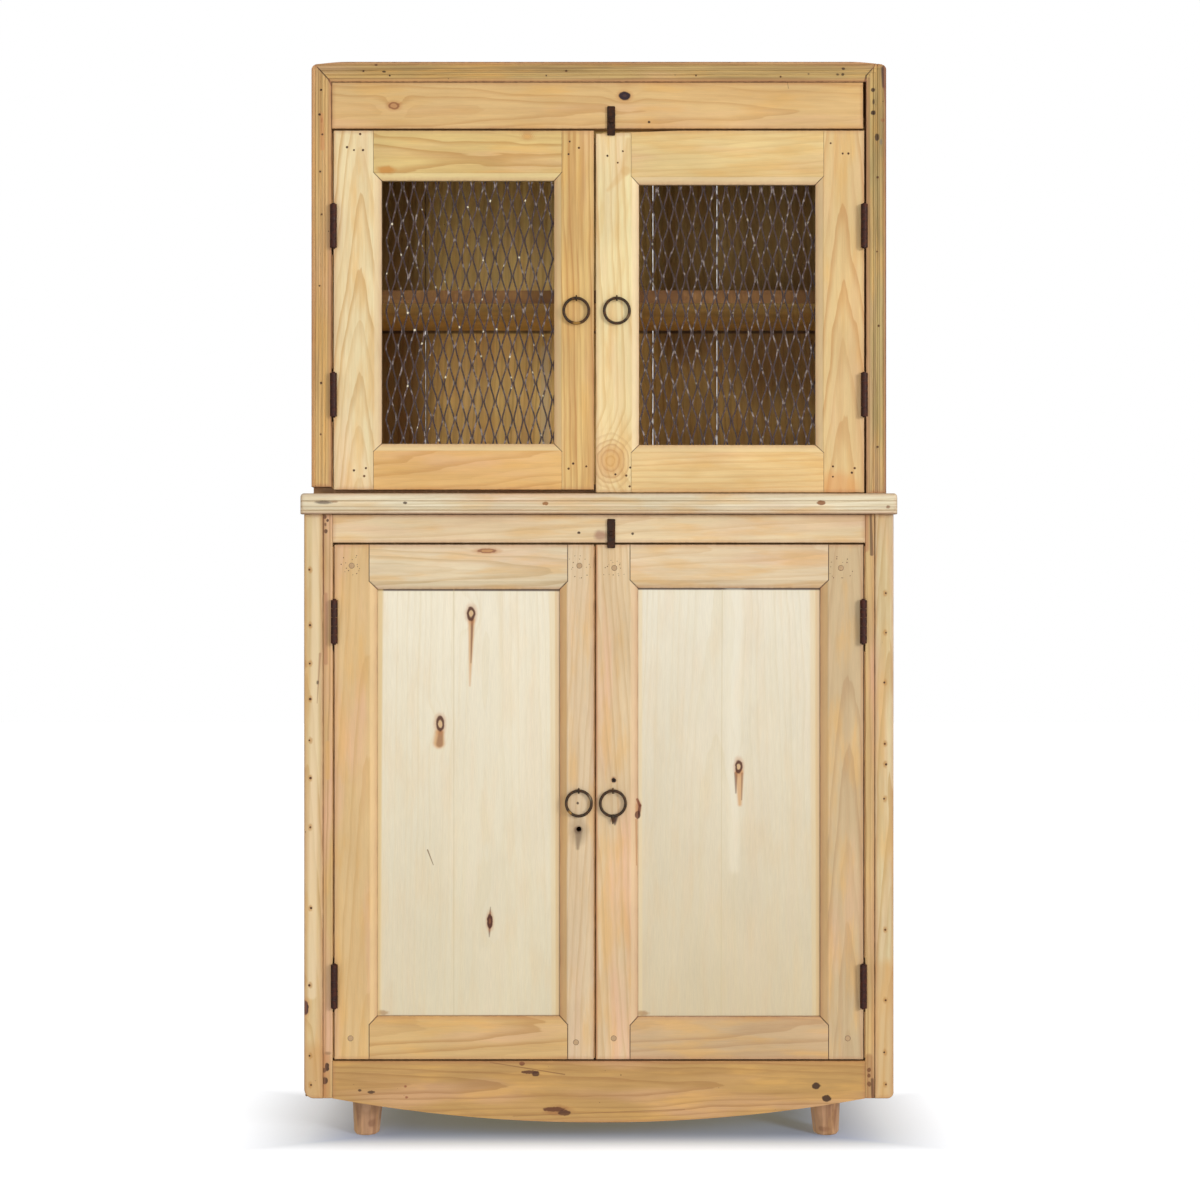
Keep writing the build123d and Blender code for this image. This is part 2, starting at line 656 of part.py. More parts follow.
def make_doors():
    carcass_halves = []
    for name, door in DOORS.items():
        frame_pieces(name, door)
        fill = "mesh" if door["mesh"] else "panel"
        nodes[f"{name}_{fill}"] = door_mesh(door) if door["mesh"] else door_panel(door)
        leaves = []
        for centre_z in door["hinges"]:
            leaf, fixed = hinge_halves(door, centre_z)
            leaves.append(leaf)
            carcass_halves += fixed
        nodes[f"{name}_hinge_leaves"] = group(leaves)
        nodes[f"{name}_staple"] = staple(door)
        nodes[f"{name}_ring"] = ring_pull(name, door)
    nodes["carcass_hinges"] = group(carcass_halves)


def make_buttons():
    places = {"upper": (UPPER_DOOR_FRONT, UPPER_BUTTON_Z), "lower": (BASE_DOOR_FRONT, LOWER_BUTTON_Z)}
    pivots = []
    for name, place in places.items():
        nodes[f"{name}_turn_button"] = turn_button(*place)
        pivots += button_pivot(*place)
    nodes["button_pivots"] = group(pivots)


make_upper_carcass()
make_door_stops()
make_waist()
make_base_carcass()
make_doors()
make_buttons()

for node, shape in nodes.items():
    export_step(shape, f"parts/{node}.step")
print(len(nodes), "nodes written")
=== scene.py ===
import math
import random
from collections import namedtuple

import bpy
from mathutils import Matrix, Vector


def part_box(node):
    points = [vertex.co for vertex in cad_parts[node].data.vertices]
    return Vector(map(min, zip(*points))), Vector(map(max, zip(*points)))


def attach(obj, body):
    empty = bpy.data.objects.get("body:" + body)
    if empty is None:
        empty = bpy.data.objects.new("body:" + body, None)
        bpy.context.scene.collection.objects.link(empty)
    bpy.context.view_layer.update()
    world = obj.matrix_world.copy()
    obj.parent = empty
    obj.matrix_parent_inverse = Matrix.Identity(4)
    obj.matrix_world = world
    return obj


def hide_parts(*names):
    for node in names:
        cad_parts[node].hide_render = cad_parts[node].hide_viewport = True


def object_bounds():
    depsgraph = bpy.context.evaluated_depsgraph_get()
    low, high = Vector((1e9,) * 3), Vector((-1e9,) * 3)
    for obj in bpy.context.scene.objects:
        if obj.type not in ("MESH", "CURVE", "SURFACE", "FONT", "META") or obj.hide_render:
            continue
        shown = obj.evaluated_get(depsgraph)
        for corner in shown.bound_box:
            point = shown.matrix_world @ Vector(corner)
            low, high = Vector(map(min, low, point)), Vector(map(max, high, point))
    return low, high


MM = 0.001
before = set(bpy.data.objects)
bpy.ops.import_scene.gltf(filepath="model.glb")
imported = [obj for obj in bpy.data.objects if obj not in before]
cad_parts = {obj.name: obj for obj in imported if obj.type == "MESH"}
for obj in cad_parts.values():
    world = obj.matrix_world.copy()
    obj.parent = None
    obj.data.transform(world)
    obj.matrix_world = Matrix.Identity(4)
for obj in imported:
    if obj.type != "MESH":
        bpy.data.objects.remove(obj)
cad_box = [list(corner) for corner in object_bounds()]

# The doors, and which way each one's outer side lies.
DOORS = {"upper_left": -1, "upper_right": 1, "base_left": -1, "base_right": 1}
BEVEL = 14
GROOVE = 7

# Marks on the wood, in millimetres of the row frame, seen from the front.
# A knot is dark, or pale in its middle, or only a swirl of grain.
Knot = namedtuple("Knot", "x z width height kind")
Spot = namedtuple("Spot", "x z width height colour strength")
Streak = namedtuple("Streak", "x0 z0 x1 z1 start end colour strength")

# Dark brown for dirt, and for the painted shade under the base panels' top rails.
GRIME_AND_SHADE = (62, 36, 18)
RUST = (150, 84, 38)
RESIN = (188, 120, 62)
KNOT_BARK = (80, 36, 14)
KNOT_WOOD = (150, 92, 52)
KNOT_HEART = (214, 178, 132)
ROSY = (226, 176, 142)
GREY_WOOD = (128, 118, 96)
HONEY = (224, 172, 92)
AMBER = (206, 146, 78)
SCORCH = (112, 60, 28)
RUSSET = (178, 116, 60)
HANDLED = (178, 116, 78)

# How bright the daylight is from below the horizon and from above it, between these heights of its direction.
DAYLIGHT = (0.48, 0.58)
HORIZON = (-0.3, 0.4)

# The camera, and how far the floor reaches, in metres.
CAMERA_PLACE = (0.002, -3.808, 0.95)
LENS = 61.7
SENSOR_WIDTH = 36
FLOOR_REACH = 12


def corners_of(node):
    """A CAD node's lowest and highest corner, in millimetres."""
    return [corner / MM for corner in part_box(node)]


def linear(colour):
    """An sRGB colour of 0 to 255 as linear RGBA."""
    channels = []
    for value in colour:
        share = value / 255
        channels.append(share / 12.92 if share < 0.04045 else ((share + 0.055) / 1.055) ** 2.4)
    return (*channels, 1.0)


class Nodes:
    """A node tree, built with short calls that take sockets or plain values."""

    def __init__(self, tree):
        self.tree = tree

    def feed(self, socket, value):
        if isinstance(value, bpy.types.NodeSocket):
            self.tree.links.new(value, socket)
        else:
            socket.default_value = value

    def node(self, kind, values, **settings):
        made = self.tree.nodes.new(kind)
        for setting, value in settings.items():
            setattr(made, setting, value)
        for socket, value in values.items():
            self.feed(made.inputs[socket], value)
        return made

    def math(self, operation, first, second=0.0, third=0.0):
        values = {0: first, 1: second, 2: third}
        return self.node("ShaderNodeMath", values, operation=operation).outputs[0]

    def times(self, first, second):
        return self.math("MULTIPLY", first, second)

    def vector(self, operation, first, second=None, scale=None):
        values = {0: first}
        if second is not None:
            values[1] = second
        if scale is not None:
            values["Scale"] = scale
        made = self.node("ShaderNodeVectorMath", values, operation=operation)
        return made.outputs["Value" if operation in ("LENGTH", "DOT_PRODUCT") else "Vector"]

    def parts(self, vector):
        return self.node("ShaderNodeSeparateXYZ", {0: vector}).outputs

    def joined(self, x, y, z):
        return self.node("ShaderNodeCombineXYZ", {0: x, 1: y, 2: z}).outputs[0]

    def slide(self, value, start, end, low, high):
        """low at start, high at end, and an even slope between them."""
        values = {"Value": value, "From Min": start, "From Max": end, "To Min": low, "To Max": high}
        return self.node("ShaderNodeMapRange", values).outputs[0]


class Paint(Nodes):
    """One material's node tree, with places in millimetres of the row frame."""

    def __init__(self, name):
        self.material = bpy.data.materials.new(name)
        self.material.use_nodes = True
        super().__init__(self.material.node_tree)
        self.shader = self.tree.nodes["Principled BSDF"]
        coordinates = self.tree.nodes.new("ShaderNodeTexCoord").outputs["Object"]
        self.place = self.vector("SCALE", coordinates, scale=1 / MM)

    def noise(self, place, size, detail=2.0, roughness=0.5):
        """Noise from 0 to 1 whose features are about size millimetres along each axis."""
        scaled = self.vector("DIVIDE", place, size)
        values = {"Vector": scaled, "Scale": 1.0, "Detail": detail, "Roughness": roughness}
        return self.node("ShaderNodeTexNoise", values).outputs["Fac"]

    def ease(self, value, start, end, low=0.0, high=1.0):
        """low before start, high after end, and a smooth step between them."""
        values = {"Value": value, "From Min": start, "From Max": end, "To Min": low, "To Max": high}
        return self.node("ShaderNodeMapRange", values, interpolation_type="SMOOTHSTEP").outputs[0]

    def mix(self, factor, under, over):
        """Two colours mixed. Plain colours are sRGB of 0 to 255."""
        values = {0: factor}
        for index, colour in ((6, under), (7, over)):
            values[index] = colour if isinstance(colour, bpy.types.NodeSocket) else linear(colour)
        return self.node("ShaderNodeMix", values, data_type="RGBA").outputs[2]

    def shade(self, colour, value):
        """A colour multiplied by one number."""
        return self.vector("SCALE", colour, scale=value)

    def flecks(self, place, cell, radius, share):
        """Small round dots, in about that share of cells of that size."""
        scaled = self.vector("SCALE", place, scale=1 / cell)
        cells = self.node("ShaderNodeTexVoronoi", {"Vector": scaled, "Scale": 1.0})
        dot = self.ease(cells.outputs["Distance"], radius / cell, 0.55 * radius / cell)
        chosen = self.math("LESS_THAN", self.parts(cells.outputs["Color"])[0], share)
        return self.times(dot, chosen)

    def finish(self, colour, roughness, height, relief, metallic=0.0, specular=0.5):
        """Links the results to the shader. relief is the depth in millimetres of height 0 to 1."""
        self.feed(self.shader.inputs["Base Color"], colour)
        self.feed(self.shader.inputs["Roughness"], roughness)
        self.feed(self.shader.inputs["Metallic"], metallic)
        self.shader.inputs["Specular IOR Level"].default_value = specular
        values = {"Height": height, "Distance": relief * MM, "Strength": 1.0}
        bump = self.node("ShaderNodeBump", values)
        self.feed(self.shader.inputs["Normal"], bump.outputs[0])
        return self.material


def ellipse(paint, x, z, width, height, wobble=0.0):
    """0 at the middle of an ellipse on the front and 1 at its edge."""
    moved = paint.vector("SUBTRACT", paint.place, (x, 0, z))
    scaled = paint.vector("MULTIPLY", moved, (2 / width, 0, 2 / height))
    distance = paint.vector("LENGTH", scaled)
    if not wobble:
        return distance
    uneven = paint.noise(paint.place, (min(width, height) * 0.5,) * 3)
    return paint.math("ADD", distance, paint.slide(uneven, 0, 1, -wobble, wobble))


def streak_mask(paint, mark):
    """1 along a line on the front that narrows or widens from start to end."""
    run = Vector((mark.x1 - mark.x0, 0, mark.z1 - mark.z0))
    flat = paint.vector("MULTIPLY", paint.place, (1, 0, 1))
    moved = paint.vector("SUBTRACT", flat, (mark.x0, 0, mark.z0))
    share = paint.vector("DOT_PRODUCT", moved, tuple(run / run.length_squared))
    share = paint.math("MAXIMUM", paint.math("MINIMUM", share, 1.0), 0.0)
    nearest = paint.vector("SCALE", tuple(run), scale=share)
    distance = paint.vector("LENGTH", paint.vector("SUBTRACT", moved, nearest))
    half = paint.slide(share, 0, 1, mark.start / 2, mark.end / 2)
    inside = paint.math("SUBTRACT", half, distance)
    soft = max(0.35, 0.2 * max(mark.start, mark.end))
    return paint.ease(inside, -soft, soft)


def knot_push(paint, knot):
    """How far a knot bends the growth rings round it, in millimetres."""
    distance = ellipse(paint, knot.x, knot.z, 4.5 * knot.width, 4.5 * knot.height)
    return paint.ease(distance, 1.0, 0.0, 0.0, 0.9 * min(knot.width, knot.height))


# For each kind of knot: its rim's colour and strength, and its middle's colour, size and strength.
KNOT_LOOKS = {
    "dark": (KNOT_BARK, 1.0, KNOT_WOOD, 0.5, 0.5),
    "black": ((44, 22, 30), 1.0, (84, 52, 46), 0.45, 0.5),
    "pale": (KNOT_BARK, 0.95, KNOT_HEART, 0.62, 0.95),
    "brown": ((136, 80, 46), 0.8, (194, 142, 90), 0.72, 0.9),
    "swirl": (AMBER, 0.3, HONEY, 0.7, 0.3),
}


def add_knot(paint, colour, knot):
    rim, rim_strength, middle, inner, strength = KNOT_LOOKS[knot.kind]
    distance = ellipse(paint, knot.x, knot.z, knot.width, knot.height, 0.22)
    swirl = knot.kind == "swirl"
    halo = paint.ease(distance, 1.9, 0.9, 0.0, 0.3 if swirl else 0.45)
    colour = paint.mix(halo, colour, AMBER if swirl else RESIN)
    if swirl:
        ripple = paint.ease(paint.math("FRACT", paint.times(distance, 2.4)), 0.4, 0.9)
        ripple = paint.times(ripple, paint.ease(distance, 2.7, 1.2, 0.0, 0.42))
        colour = paint.mix(ripple, colour, RUSSET)
    colour = paint.mix(paint.ease(distance, 1.15, 0.85, 0.0, rim_strength), colour, rim)
    return paint.mix(paint.ease(distance, inner, inner - 0.25, 0.0, strength), colour, middle)


# A spot stronger than this is a hole or a nail, with a clear edge; others fade out.
HOLE = 0.82


def add_mark(paint, colour, mark, front_only):
    """Paints one mark over the colour."""
    if isinstance(mark, Knot):
        return add_knot(paint, colour, mark)
    if isinstance(mark, Spot):
        distance = ellipse(paint, mark.x, mark.z, mark.width, mark.height, 0.3)
        mask = paint.ease(distance, 1.05, 0.75 if mark.strength > HOLE else 0.35)
    else:
        mask = streak_mask(paint, mark)
    mask = paint.times(mask, front_only)
    return paint.mix(paint.times(mask, mark.strength), colour, mark.colour)


# The row frame's axes in the order across the face, into the board, along the grain.
GRAINS = {"upright": (0, 1, 2), "level": (2, 1, 0), "upright side": (1, 0, 2), "flat": (1, 2, 0)}


def growth_rings(paint, grain, middle, pith, ring, taper, warp, knots):
    """Late wood from 0 to 1: cones round a pith line, bent by slow noise and by the knots."""
    centred = paint.vector("SUBTRACT", grain, middle)
    across, depth, along = paint.parts(centred)
    flat = paint.joined(paint.math("SUBTRACT", across, pith[0]), paint.math("SUBTRACT", depth, pith[1]), 0.0)
    radius = paint.vector("LENGTH", flat)
    radius = paint.math("MULTIPLY_ADD", along, taper, radius)
    bend = paint.noise(grain, (60, 60, 330), detail=2.5)
    radius = paint.math("MULTIPLY_ADD", bend, 4 * warp, radius)
    shiver = paint.noise(grain, (9, 9, 70), detail=2)
    radius = paint.math("MULTIPLY_ADD", shiver, 0.35 * ring, radius)
    for knot in knots:
        radius = paint.math("ADD", radius, knot_push(paint, knot))
    scaled = paint.math("DIVIDE", radius, ring)
    phase = paint.math("FRACT", scaled)
    year = paint.node("ShaderNodeTexWhiteNoise", {"W": paint.math("FLOOR", scaled)}, noise_dimensions="1D")
    rise = paint.ease(phase, 0.45, 0.94)
    fall = paint.ease(phase, 1.0, 0.96)
    late = paint.times(rise, fall)
    return paint.times(late, paint.slide(year.outputs["Value"], 0, 1, 0.3, 1.0))


def pine(
    node, pale, late, end=None, grain="upright", pith=(45, 30), ring=9, taper=0.05, warp=5, figure=0.75,
    streaks=0.3, rosy=0.12, honey=0.15, blotch=0.07, worm=0.0, edge=0.35, bevel=None, shine=0.5,
    relief=0.25, marks=(), mark_depth=BEVEL,
):
    """A pine board. pale is the early wood (end at the grain's far end) and late the dark rings' colour.
    pith is how far the tree's middle lies across and behind the face, and figure how strong the rings are.
    bevel is the colour of what slopes back from the front face; on the shelves it is painted light that
    brightens their undersides."""
    paint = Paint(node)
    low, high = corners_of(node)
    order = GRAINS[grain]
    axes = paint.parts(paint.place)
    turned = paint.joined(*(axes[axis] for axis in order))
    middle = Vector(((low + high) / 2)[axis] for axis in order)
    middle[1] = low[order[1]]
    knots = [mark for mark in marks if isinstance(mark, Knot)]
    rings = growth_rings(paint, turned, middle, pith, ring, taper, warp, knots)

    share = paint.slide(axes[order[2]], low[order[2]], high[order[2]], 0.0, 1.0)
    base = paint.mix(share, end or pale, pale)
    broad = paint.noise(turned, (14, 14, 420), detail=3, roughness=0.6)
    colour = paint.mix(paint.ease(broad, 0.42, 0.68, 0.0, streaks), base, late)
    pink = paint.noise(turned, (38, 38, 260), detail=2)
    colour = paint.mix(paint.ease(pink, 0.45, 0.75, 0.0, 3 * rosy), colour, ROSY)
    yellow = paint.noise(turned, (22, 22, 120), detail=3)
    colour = paint.mix(paint.ease(yellow, 0.46, 0.72, 0.0, 3 * honey), colour, HONEY)
    colour = paint.mix(paint.times(rings, figure), colour, late)
    if bevel:
        colour = paint.mix(paint.ease(axes[1], low.y + 0.3, low.y + 1.4, 0.0, 0.85), colour, bevel)

    fibre = paint.noise(turned, (0.8, 0.8, 22), detail=3, roughness=0.65)
    cloud = paint.noise(turned, (60, 60, 150), detail=3)
    tone = paint.slide(fibre, 0.25, 0.75, 0.93, 1.06)
    tone = paint.times(tone, paint.slide(cloud, 0.3, 0.7, 1 - blotch, 1 + blotch))
    colour = paint.shade(colour, tone)

    front_only = paint.ease(axes[1], low.y + mark_depth, low.y + mark_depth - 3)
    for mark in marks:
        colour = add_mark(paint, colour, mark, front_only)

    nearest = paint.vector(
        "MINIMUM",
        paint.vector("SUBTRACT", paint.place, tuple(low)),
        paint.vector("SUBTRACT", tuple(high), paint.place),
    )
    sides = paint.parts(nearest)
    rim = paint.math("MINIMUM", sides[order[0]], sides[order[2]])
    worn = paint.noise(paint.place, (7, 7, 26), detail=2)
    rim = paint.math("ADD", rim, paint.slide(worn, 0, 1, -1.2, 1.8))
    colour = paint.mix(paint.ease(rim, 9, 0.5, 0.0, edge), colour, HANDLED)
    colour = paint.mix(paint.ease(rim, 1.8, 0.2, 0.0, edge), colour, GRIME_AND_SHADE)
    height = paint.math("MULTIPLY_ADD", rings, 0.35, paint.times(fibre, 0.6))
    if worm:
        holes = paint.flecks(paint.place, 19, 1.3, worm)
        holes = paint.math("MAXIMUM", holes, paint.flecks(paint.place, 11, 0.7, 0.6 * worm))
        colour = paint.mix(paint.times(holes, 0.85), colour, GRIME_AND_SHADE)
        height = paint.math("SUBTRACT", height, holes)
    roughness = paint.slide(fibre, 0.2, 0.8, shine - 0.08, shine + 0.12)
    dress(paint.finish(colour, roughness, height, relief, specular=0.35), node)


def mottled(name, size, first, second, smoothest, roughest, relief, detail=3):
    """A plain material whose colour goes between two by noise of that size."""
    paint = Paint(name)
    cloud = paint.noise(paint.place, size, detail=detail)
    colour = paint.mix(cloud, first, second)
    return paint.finish(colour, paint.slide(cloud, 0, 1, smoothest, roughest), cloud, relief)


def iron(name, colour, rust, metallic, patches=()):
    """Old iron: dark, pitted and rusty, with bright patches where hands have worn it."""
    paint = Paint(name)
    cloud = paint.noise(paint.place, (6, 6, 6), detail=4, roughness=0.65)
    pits = paint.noise(paint.place, (1.6, 1.6, 1.6), detail=3, roughness=0.6)
    made = paint.mix(paint.ease(cloud, 0.42, 0.66), colour, rust)
    made = paint.shade(made, paint.slide(pits, 0.25, 0.75, 0.75, 1.25))
    for patch in patches:
        distance = ellipse(paint, patch.x, patch.z, patch.width, patch.height, 0.35)
        mask = paint.ease(distance, 1.0, 0.3, 0.0, patch.strength)
        made = paint.mix(mask, made, patch.colour)
    roughness = paint.slide(cloud, 0.3, 0.7, 0.38, 0.68)
    return paint.finish(made, roughness, pits, 0.35, metallic=metallic, specular=0.3)


def dress(material, *nodes):
    for node in nodes:
        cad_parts[node].data.materials[0] = material


def joint_lines(door):
    """The dark lines where rails meet stiles: straight down to the bevel, then across its mitre."""
    side = DOORS[door]
    strength, width = (0.85, 1.5) if door.startswith("base") else (0.28, 1.0)
    lines = []
    for stile, inward in (("stile_outer", -side), ("stile_inner", side)):
        low, high = corners_of(f"{door}_{stile}")
        opening_x = high.x if inward > 0 else low.x
        shoulder_x = opening_x - inward * BEVEL
        for rail, upward in (("rail_top", 1), ("rail_bottom", -1)):
            low, high = corners_of(f"{door}_{rail}")
            opening_z = low.z if upward > 0 else high.z
            far_z = high.z if upward > 0 else low.z
            bend_z = opening_z + upward * BEVEL
            lines.append(Streak(shoulder_x, far_z, shoulder_x, bend_z, width, width, GRIME_AND_SHADE, strength))
            lines.append(Streak(shoulder_x, bend_z, opening_x, opening_z, width, width + 0.6, GRIME_AND_SHADE, 0.85))
    return lines


def panel_edge_shade_and_dirt(door):
    """Painted shade along the top of a panel under its rail, dirt along its bottom, and the stile's painted
    shadow, honey-coloured, along its right side.
    """
    low, high = corners_of(f"{door}_panel")
    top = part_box(f"{door}_rail_top")[0].z / MM
    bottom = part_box(f"{door}_rail_bottom")[1].z / MM
    left, right = low.x + GROOVE, high.x - GROOVE
    return [
        # The stile's shadow, painted in honey tones along the panel's right side.
        Streak(right - 4, top, right - 3, bottom, 9, 8, (206, 160, 96), 0.55),
        Streak(right - 12, top, right - 9, bottom, 12, 10, (224, 196, 142), 0.4),
        Streak(right, top, right, bottom, 1.6, 1.6, GRIME_AND_SHADE, 0.5),
        Streak(left, top, left, bottom, 1.2, 1.6, (140, 100, 56), 0.6),
        Streak(left + 3, top, left + 3, bottom, 9, 9, (232, 208, 160), 0.5),
        # Painted shade along the panel's top, under the rail.
        Streak(left, top, right, top, 6.0, 7.0, GRIME_AND_SHADE, 0.9),
        Streak(left, bottom, right, bottom, 1.4, 2.2, (120, 80, 40), 0.6),
        Spot(left + 8, bottom + 5, 30, 12, (160, 110, 52), 0.6),
    ]


def mesh_piece(name, vertices, faces, materials, face_materials=None):
    """A new mesh object in the row frame, from millimetres."""
    mesh = bpy.data.meshes.new(name)
    mesh.from_pydata([Vector(vertex) * MM for vertex in vertices], [], faces)
    for material in materials:
        mesh.materials.append(material)
    for index, polygon in enumerate(mesh.polygons):
        polygon.use_smooth = False
        polygon.material_index = face_materials[index] if face_materials else 0
    mesh.validate()
    piece = bpy.data.objects.new(name, mesh)
    bpy.context.scene.collection.objects.link(piece)
    return piece


def turned_studs(name, places, profile, materials, bands, sides=14):
    """Studs that face the front: a profile of (radius, how proud) turned about each place (x, front y, z)."""
    vertices, faces, face_materials = [], [], []
    for x, y, z, size in places:
        base = len(vertices)
        for radius, proud in profile:
            for step in range(sides):
                angle = 2 * math.pi * step / sides
                reach = radius * size
                vertices.append((x + reach * math.cos(angle), y - proud, z + reach * math.sin(angle)))
        for ring in range(len(profile) - 1):
            for step in range(sides):
                following = (step + 1) % sides
                inner, outer = base + ring * sides, base + (ring + 1) * sides
                faces.append((inner + step, inner + following, outer + following, outer + step))
                face_materials.append(bands[ring])
        faces.append(tuple(base + step for step in reversed(range(sides))))
        face_materials.append(bands[0])
        last = base + (len(profile) - 1) * sides
        faces.append(tuple(last + step for step in range(sides)))
        face_materials.append(bands[-1])
    return mesh_piece(name, vertices, faces, materials, face_materials)


def square_tube(base, rings):
    """The faces of a closed tube of four-cornered rings, whose vertices start at number base."""
    faces = [(base + 3, base + 2, base + 1, base)]
    for ring in range(rings - 1):
        start = base + 4 * ring
        for corner in range(4):
            following = (corner + 1) % 4
            faces.append((start + corner, start + following, start + 4 + following, start + 4 + corner))
    top = base + 4 * (rings - 1)
    faces.append((top, top + 1, top + 2, top + 3))
    return faces


# Expanded metal: wavy strands, two to each pitch, that touch their left and right neighbours in turn.
MESH_PITCH = 20.3
MESH_ROW = 31.4
STRAND_HALF_WIDTH = 1.42
STRAND_HALF_THICKNESS = 0.75
STRAND_STEPS = 8


def expanded_metal(door, bond_x, bond_z, material):
    """The sheet of expanded metal in a door, with one of its bonds at (bond_x, bond_z)."""
    low, high = corners_of(f"{door}_mesh")
    half_pitch = MESH_PITCH / 2
    swing = half_pitch / 2 - STRAND_HALF_WIDTH * 0.95
    middle_y = (low.y + high.y) / 2
    chance = random.Random(door)
    first_row = math.floor((low.z - bond_z) / MESH_ROW)
    last_row = math.ceil((high.z - bond_z) / MESH_ROW)
    first = math.ceil((low.x + half_pitch / 2 - bond_x) / half_pitch)
    last = math.floor((high.x - half_pitch / 2 - bond_x) / half_pitch)
    stray = {}

    def bond(row, strand):
        """The bond that a strand belongs to in a row, and its offsets."""
        leans_right = (row + strand) % 2 == 0
        key = (row, strand if leans_right else strand - 1)
        if key not in stray:
            stray[key] = (chance.gauss(0, 0.55), chance.gauss(0, 0.35), chance.gauss(0, 0.9))
        return (swing if leans_right else -swing), stray[key]

    vertices, faces = [], []
    for strand in range(first, last + 1):
        centre_x = bond_x + (strand + 0.5) * half_pitch
        rings = []
        for row in range(first_row, last_row):
            here, here_stray = bond(row, strand)
            there, there_stray = bond(row + 1, strand)
            for step in range(STRAND_STEPS):
                share = step / STRAND_STEPS
                z = bond_z + (row + share) * MESH_ROW
                if not low.z - 1 < z < high.z + 1:
                    continue
                blend = (1 - math.cos(math.pi * share)) / 2
                blend += 0.045 * math.sin(2 * math.pi * share)
                x = centre_x + here + (there - here) * blend
                x += here_stray[0] + (there_stray[0] - here_stray[0]) * blend
                z += here_stray[2] + (there_stray[2] - here_stray[2]) * share
                lift = 0.7 * math.sin(math.pi * share) * (1 if there > here else -1)
                y = middle_y + lift + here_stray[1] + (there_stray[1] - here_stray[1]) * blend
                twist = math.radians(9) * math.sin(math.pi * share) * (1 if there > here else -1)
                rings.append((x, y, min(max(z, low.z), high.z), twist))
        base = len(vertices)
        for x, y, z, twist in rings:
            for side, face in ((-1, -1), (1, -1), (1, 1), (-1, 1)):
                across = side * STRAND_HALF_WIDTH
                into = face * STRAND_HALF_THICKNESS
                aside = across * math.cos(twist) - into * math.sin(twist)
                deeper = across * math.sin(twist) + into * math.cos(twist)
                vertices.append((x + aside, y + deeper, z))
        faces += square_tube(base, len(rings))
    piece = mesh_piece(f"{door}_expanded_metal", vertices, faces, [material])
    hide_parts(f"{door}_mesh")
    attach(piece, f"{door}_door")


def mesh_metal():
    """Dull grey-brown strands with painted glints on their faces, rust, and specks of pale paint."""
    paint = Paint("expanded_metal_strands")
    cloud = paint.noise(paint.place, (16, 16, 22), detail=3)
    colour = paint.mix(paint.ease(cloud, 0.38, 0.66), (66, 43, 37), (48, 29, 23))
    # Painted highlights: paler glints scattered over the strands.
    glints = paint.noise(paint.place, (5, 5, 9), detail=2)
    colour = paint.mix(paint.ease(glints, 0.56, 0.68, 0.0, 0.62), colour, (160, 146, 140))
    specks = paint.flecks(paint.place, 13, 2.6, 0.4)
    specks = paint.times(specks, paint.ease(paint.parts(paint.place)[0], 2, 0, 0.3, 1.0))
    colour = paint.mix(specks, colour, (226, 216, 186))
    metallic = paint.slide(specks, 0, 1, 0.15, 0.0)
    roughness = paint.slide(glints, 0.3, 0.7, 0.6, 0.4)
    return paint.finish(colour, roughness, glints, 0.15, metallic=metallic)


def paint_upper_doors():
    left = joint_lines("upper_left")
    right = joint_lines("upper_right")
    pine(
        "upper_left_stile_outer", bevel=(222, 196, 150), pale=(233, 213, 166), late=(203, 159, 98),
        pith=(6, 10), ring=13, taper=0.13, warp=7, marks=left,
    )
    pine(
        "upper_left_stile_inner", bevel=(224, 192, 140), pale=(224, 188, 120), late=(184, 128, 68),
        pith=(-90, 30), ring=10, taper=0.02, warp=6, streaks=0.55, marks=left,
    )
    pine(
        "upper_left_rail_top", bevel=(237, 213, 153), pale=(218, 188, 122), late=(187, 140, 76),
        grain="level", pith=(-4, 12), ring=15, warp=10,
        marks=[*left, Knot(-125, 1762, 15, 9, "swirl"), Spot(-372, 1704, 44, 20, (198, 128, 44), 0.75)],
    )
    pine(
        "upper_left_rail_bottom", bevel=(232, 204, 152), pale=(228, 183, 115), late=(202, 147, 79),
        grain="level", pith=(30, 30), ring=15, taper=0.09, warp=8, figure=0.6, marks=left,
    )
    pine(
        "upper_right_stile_inner", bevel=(236, 212, 166), pale=(239, 223, 170), late=(211, 170, 107),
        end=(233, 207, 152), pith=(-60, 10), ring=12, taper=0.03, warp=6, figure=0.6,
        marks=[
            *right, Knot(21, 1193, 40, 48, "swirl"),
            Streak(52, 1756, 47, 1702, 9, 17, (204, 152, 86), 0.42),
            Streak(47, 1702, 16, 1668, 15, 6, (214, 168, 102), 0.36),
        ],
    )
    pine(
        "upper_right_stile_outer", bevel=(226, 196, 148), pale=(223, 192, 135), late=(199, 147, 87),
        pith=(4, 14), ring=14, taper=0.11, warp=8,
        marks=[*right, Spot(420, 1150, 90, 70, (218, 148, 82), 0.5)],
    )
    pine(
        "upper_right_rail_top", bevel=(234, 206, 158), pale=(227, 198, 137), late=(206, 163, 98),
        grain="level", pith=(90, 40), taper=0.06, warp=6, figure=0.38, marks=right,
    )
    pine(
        "upper_right_rail_bottom", bevel=(234, 204, 150), pale=(233, 201, 141), late=(211, 161, 96),
        grain="level", pith=(60, 30), ring=10, taper=0.03, figure=0.5, marks=right,
    )


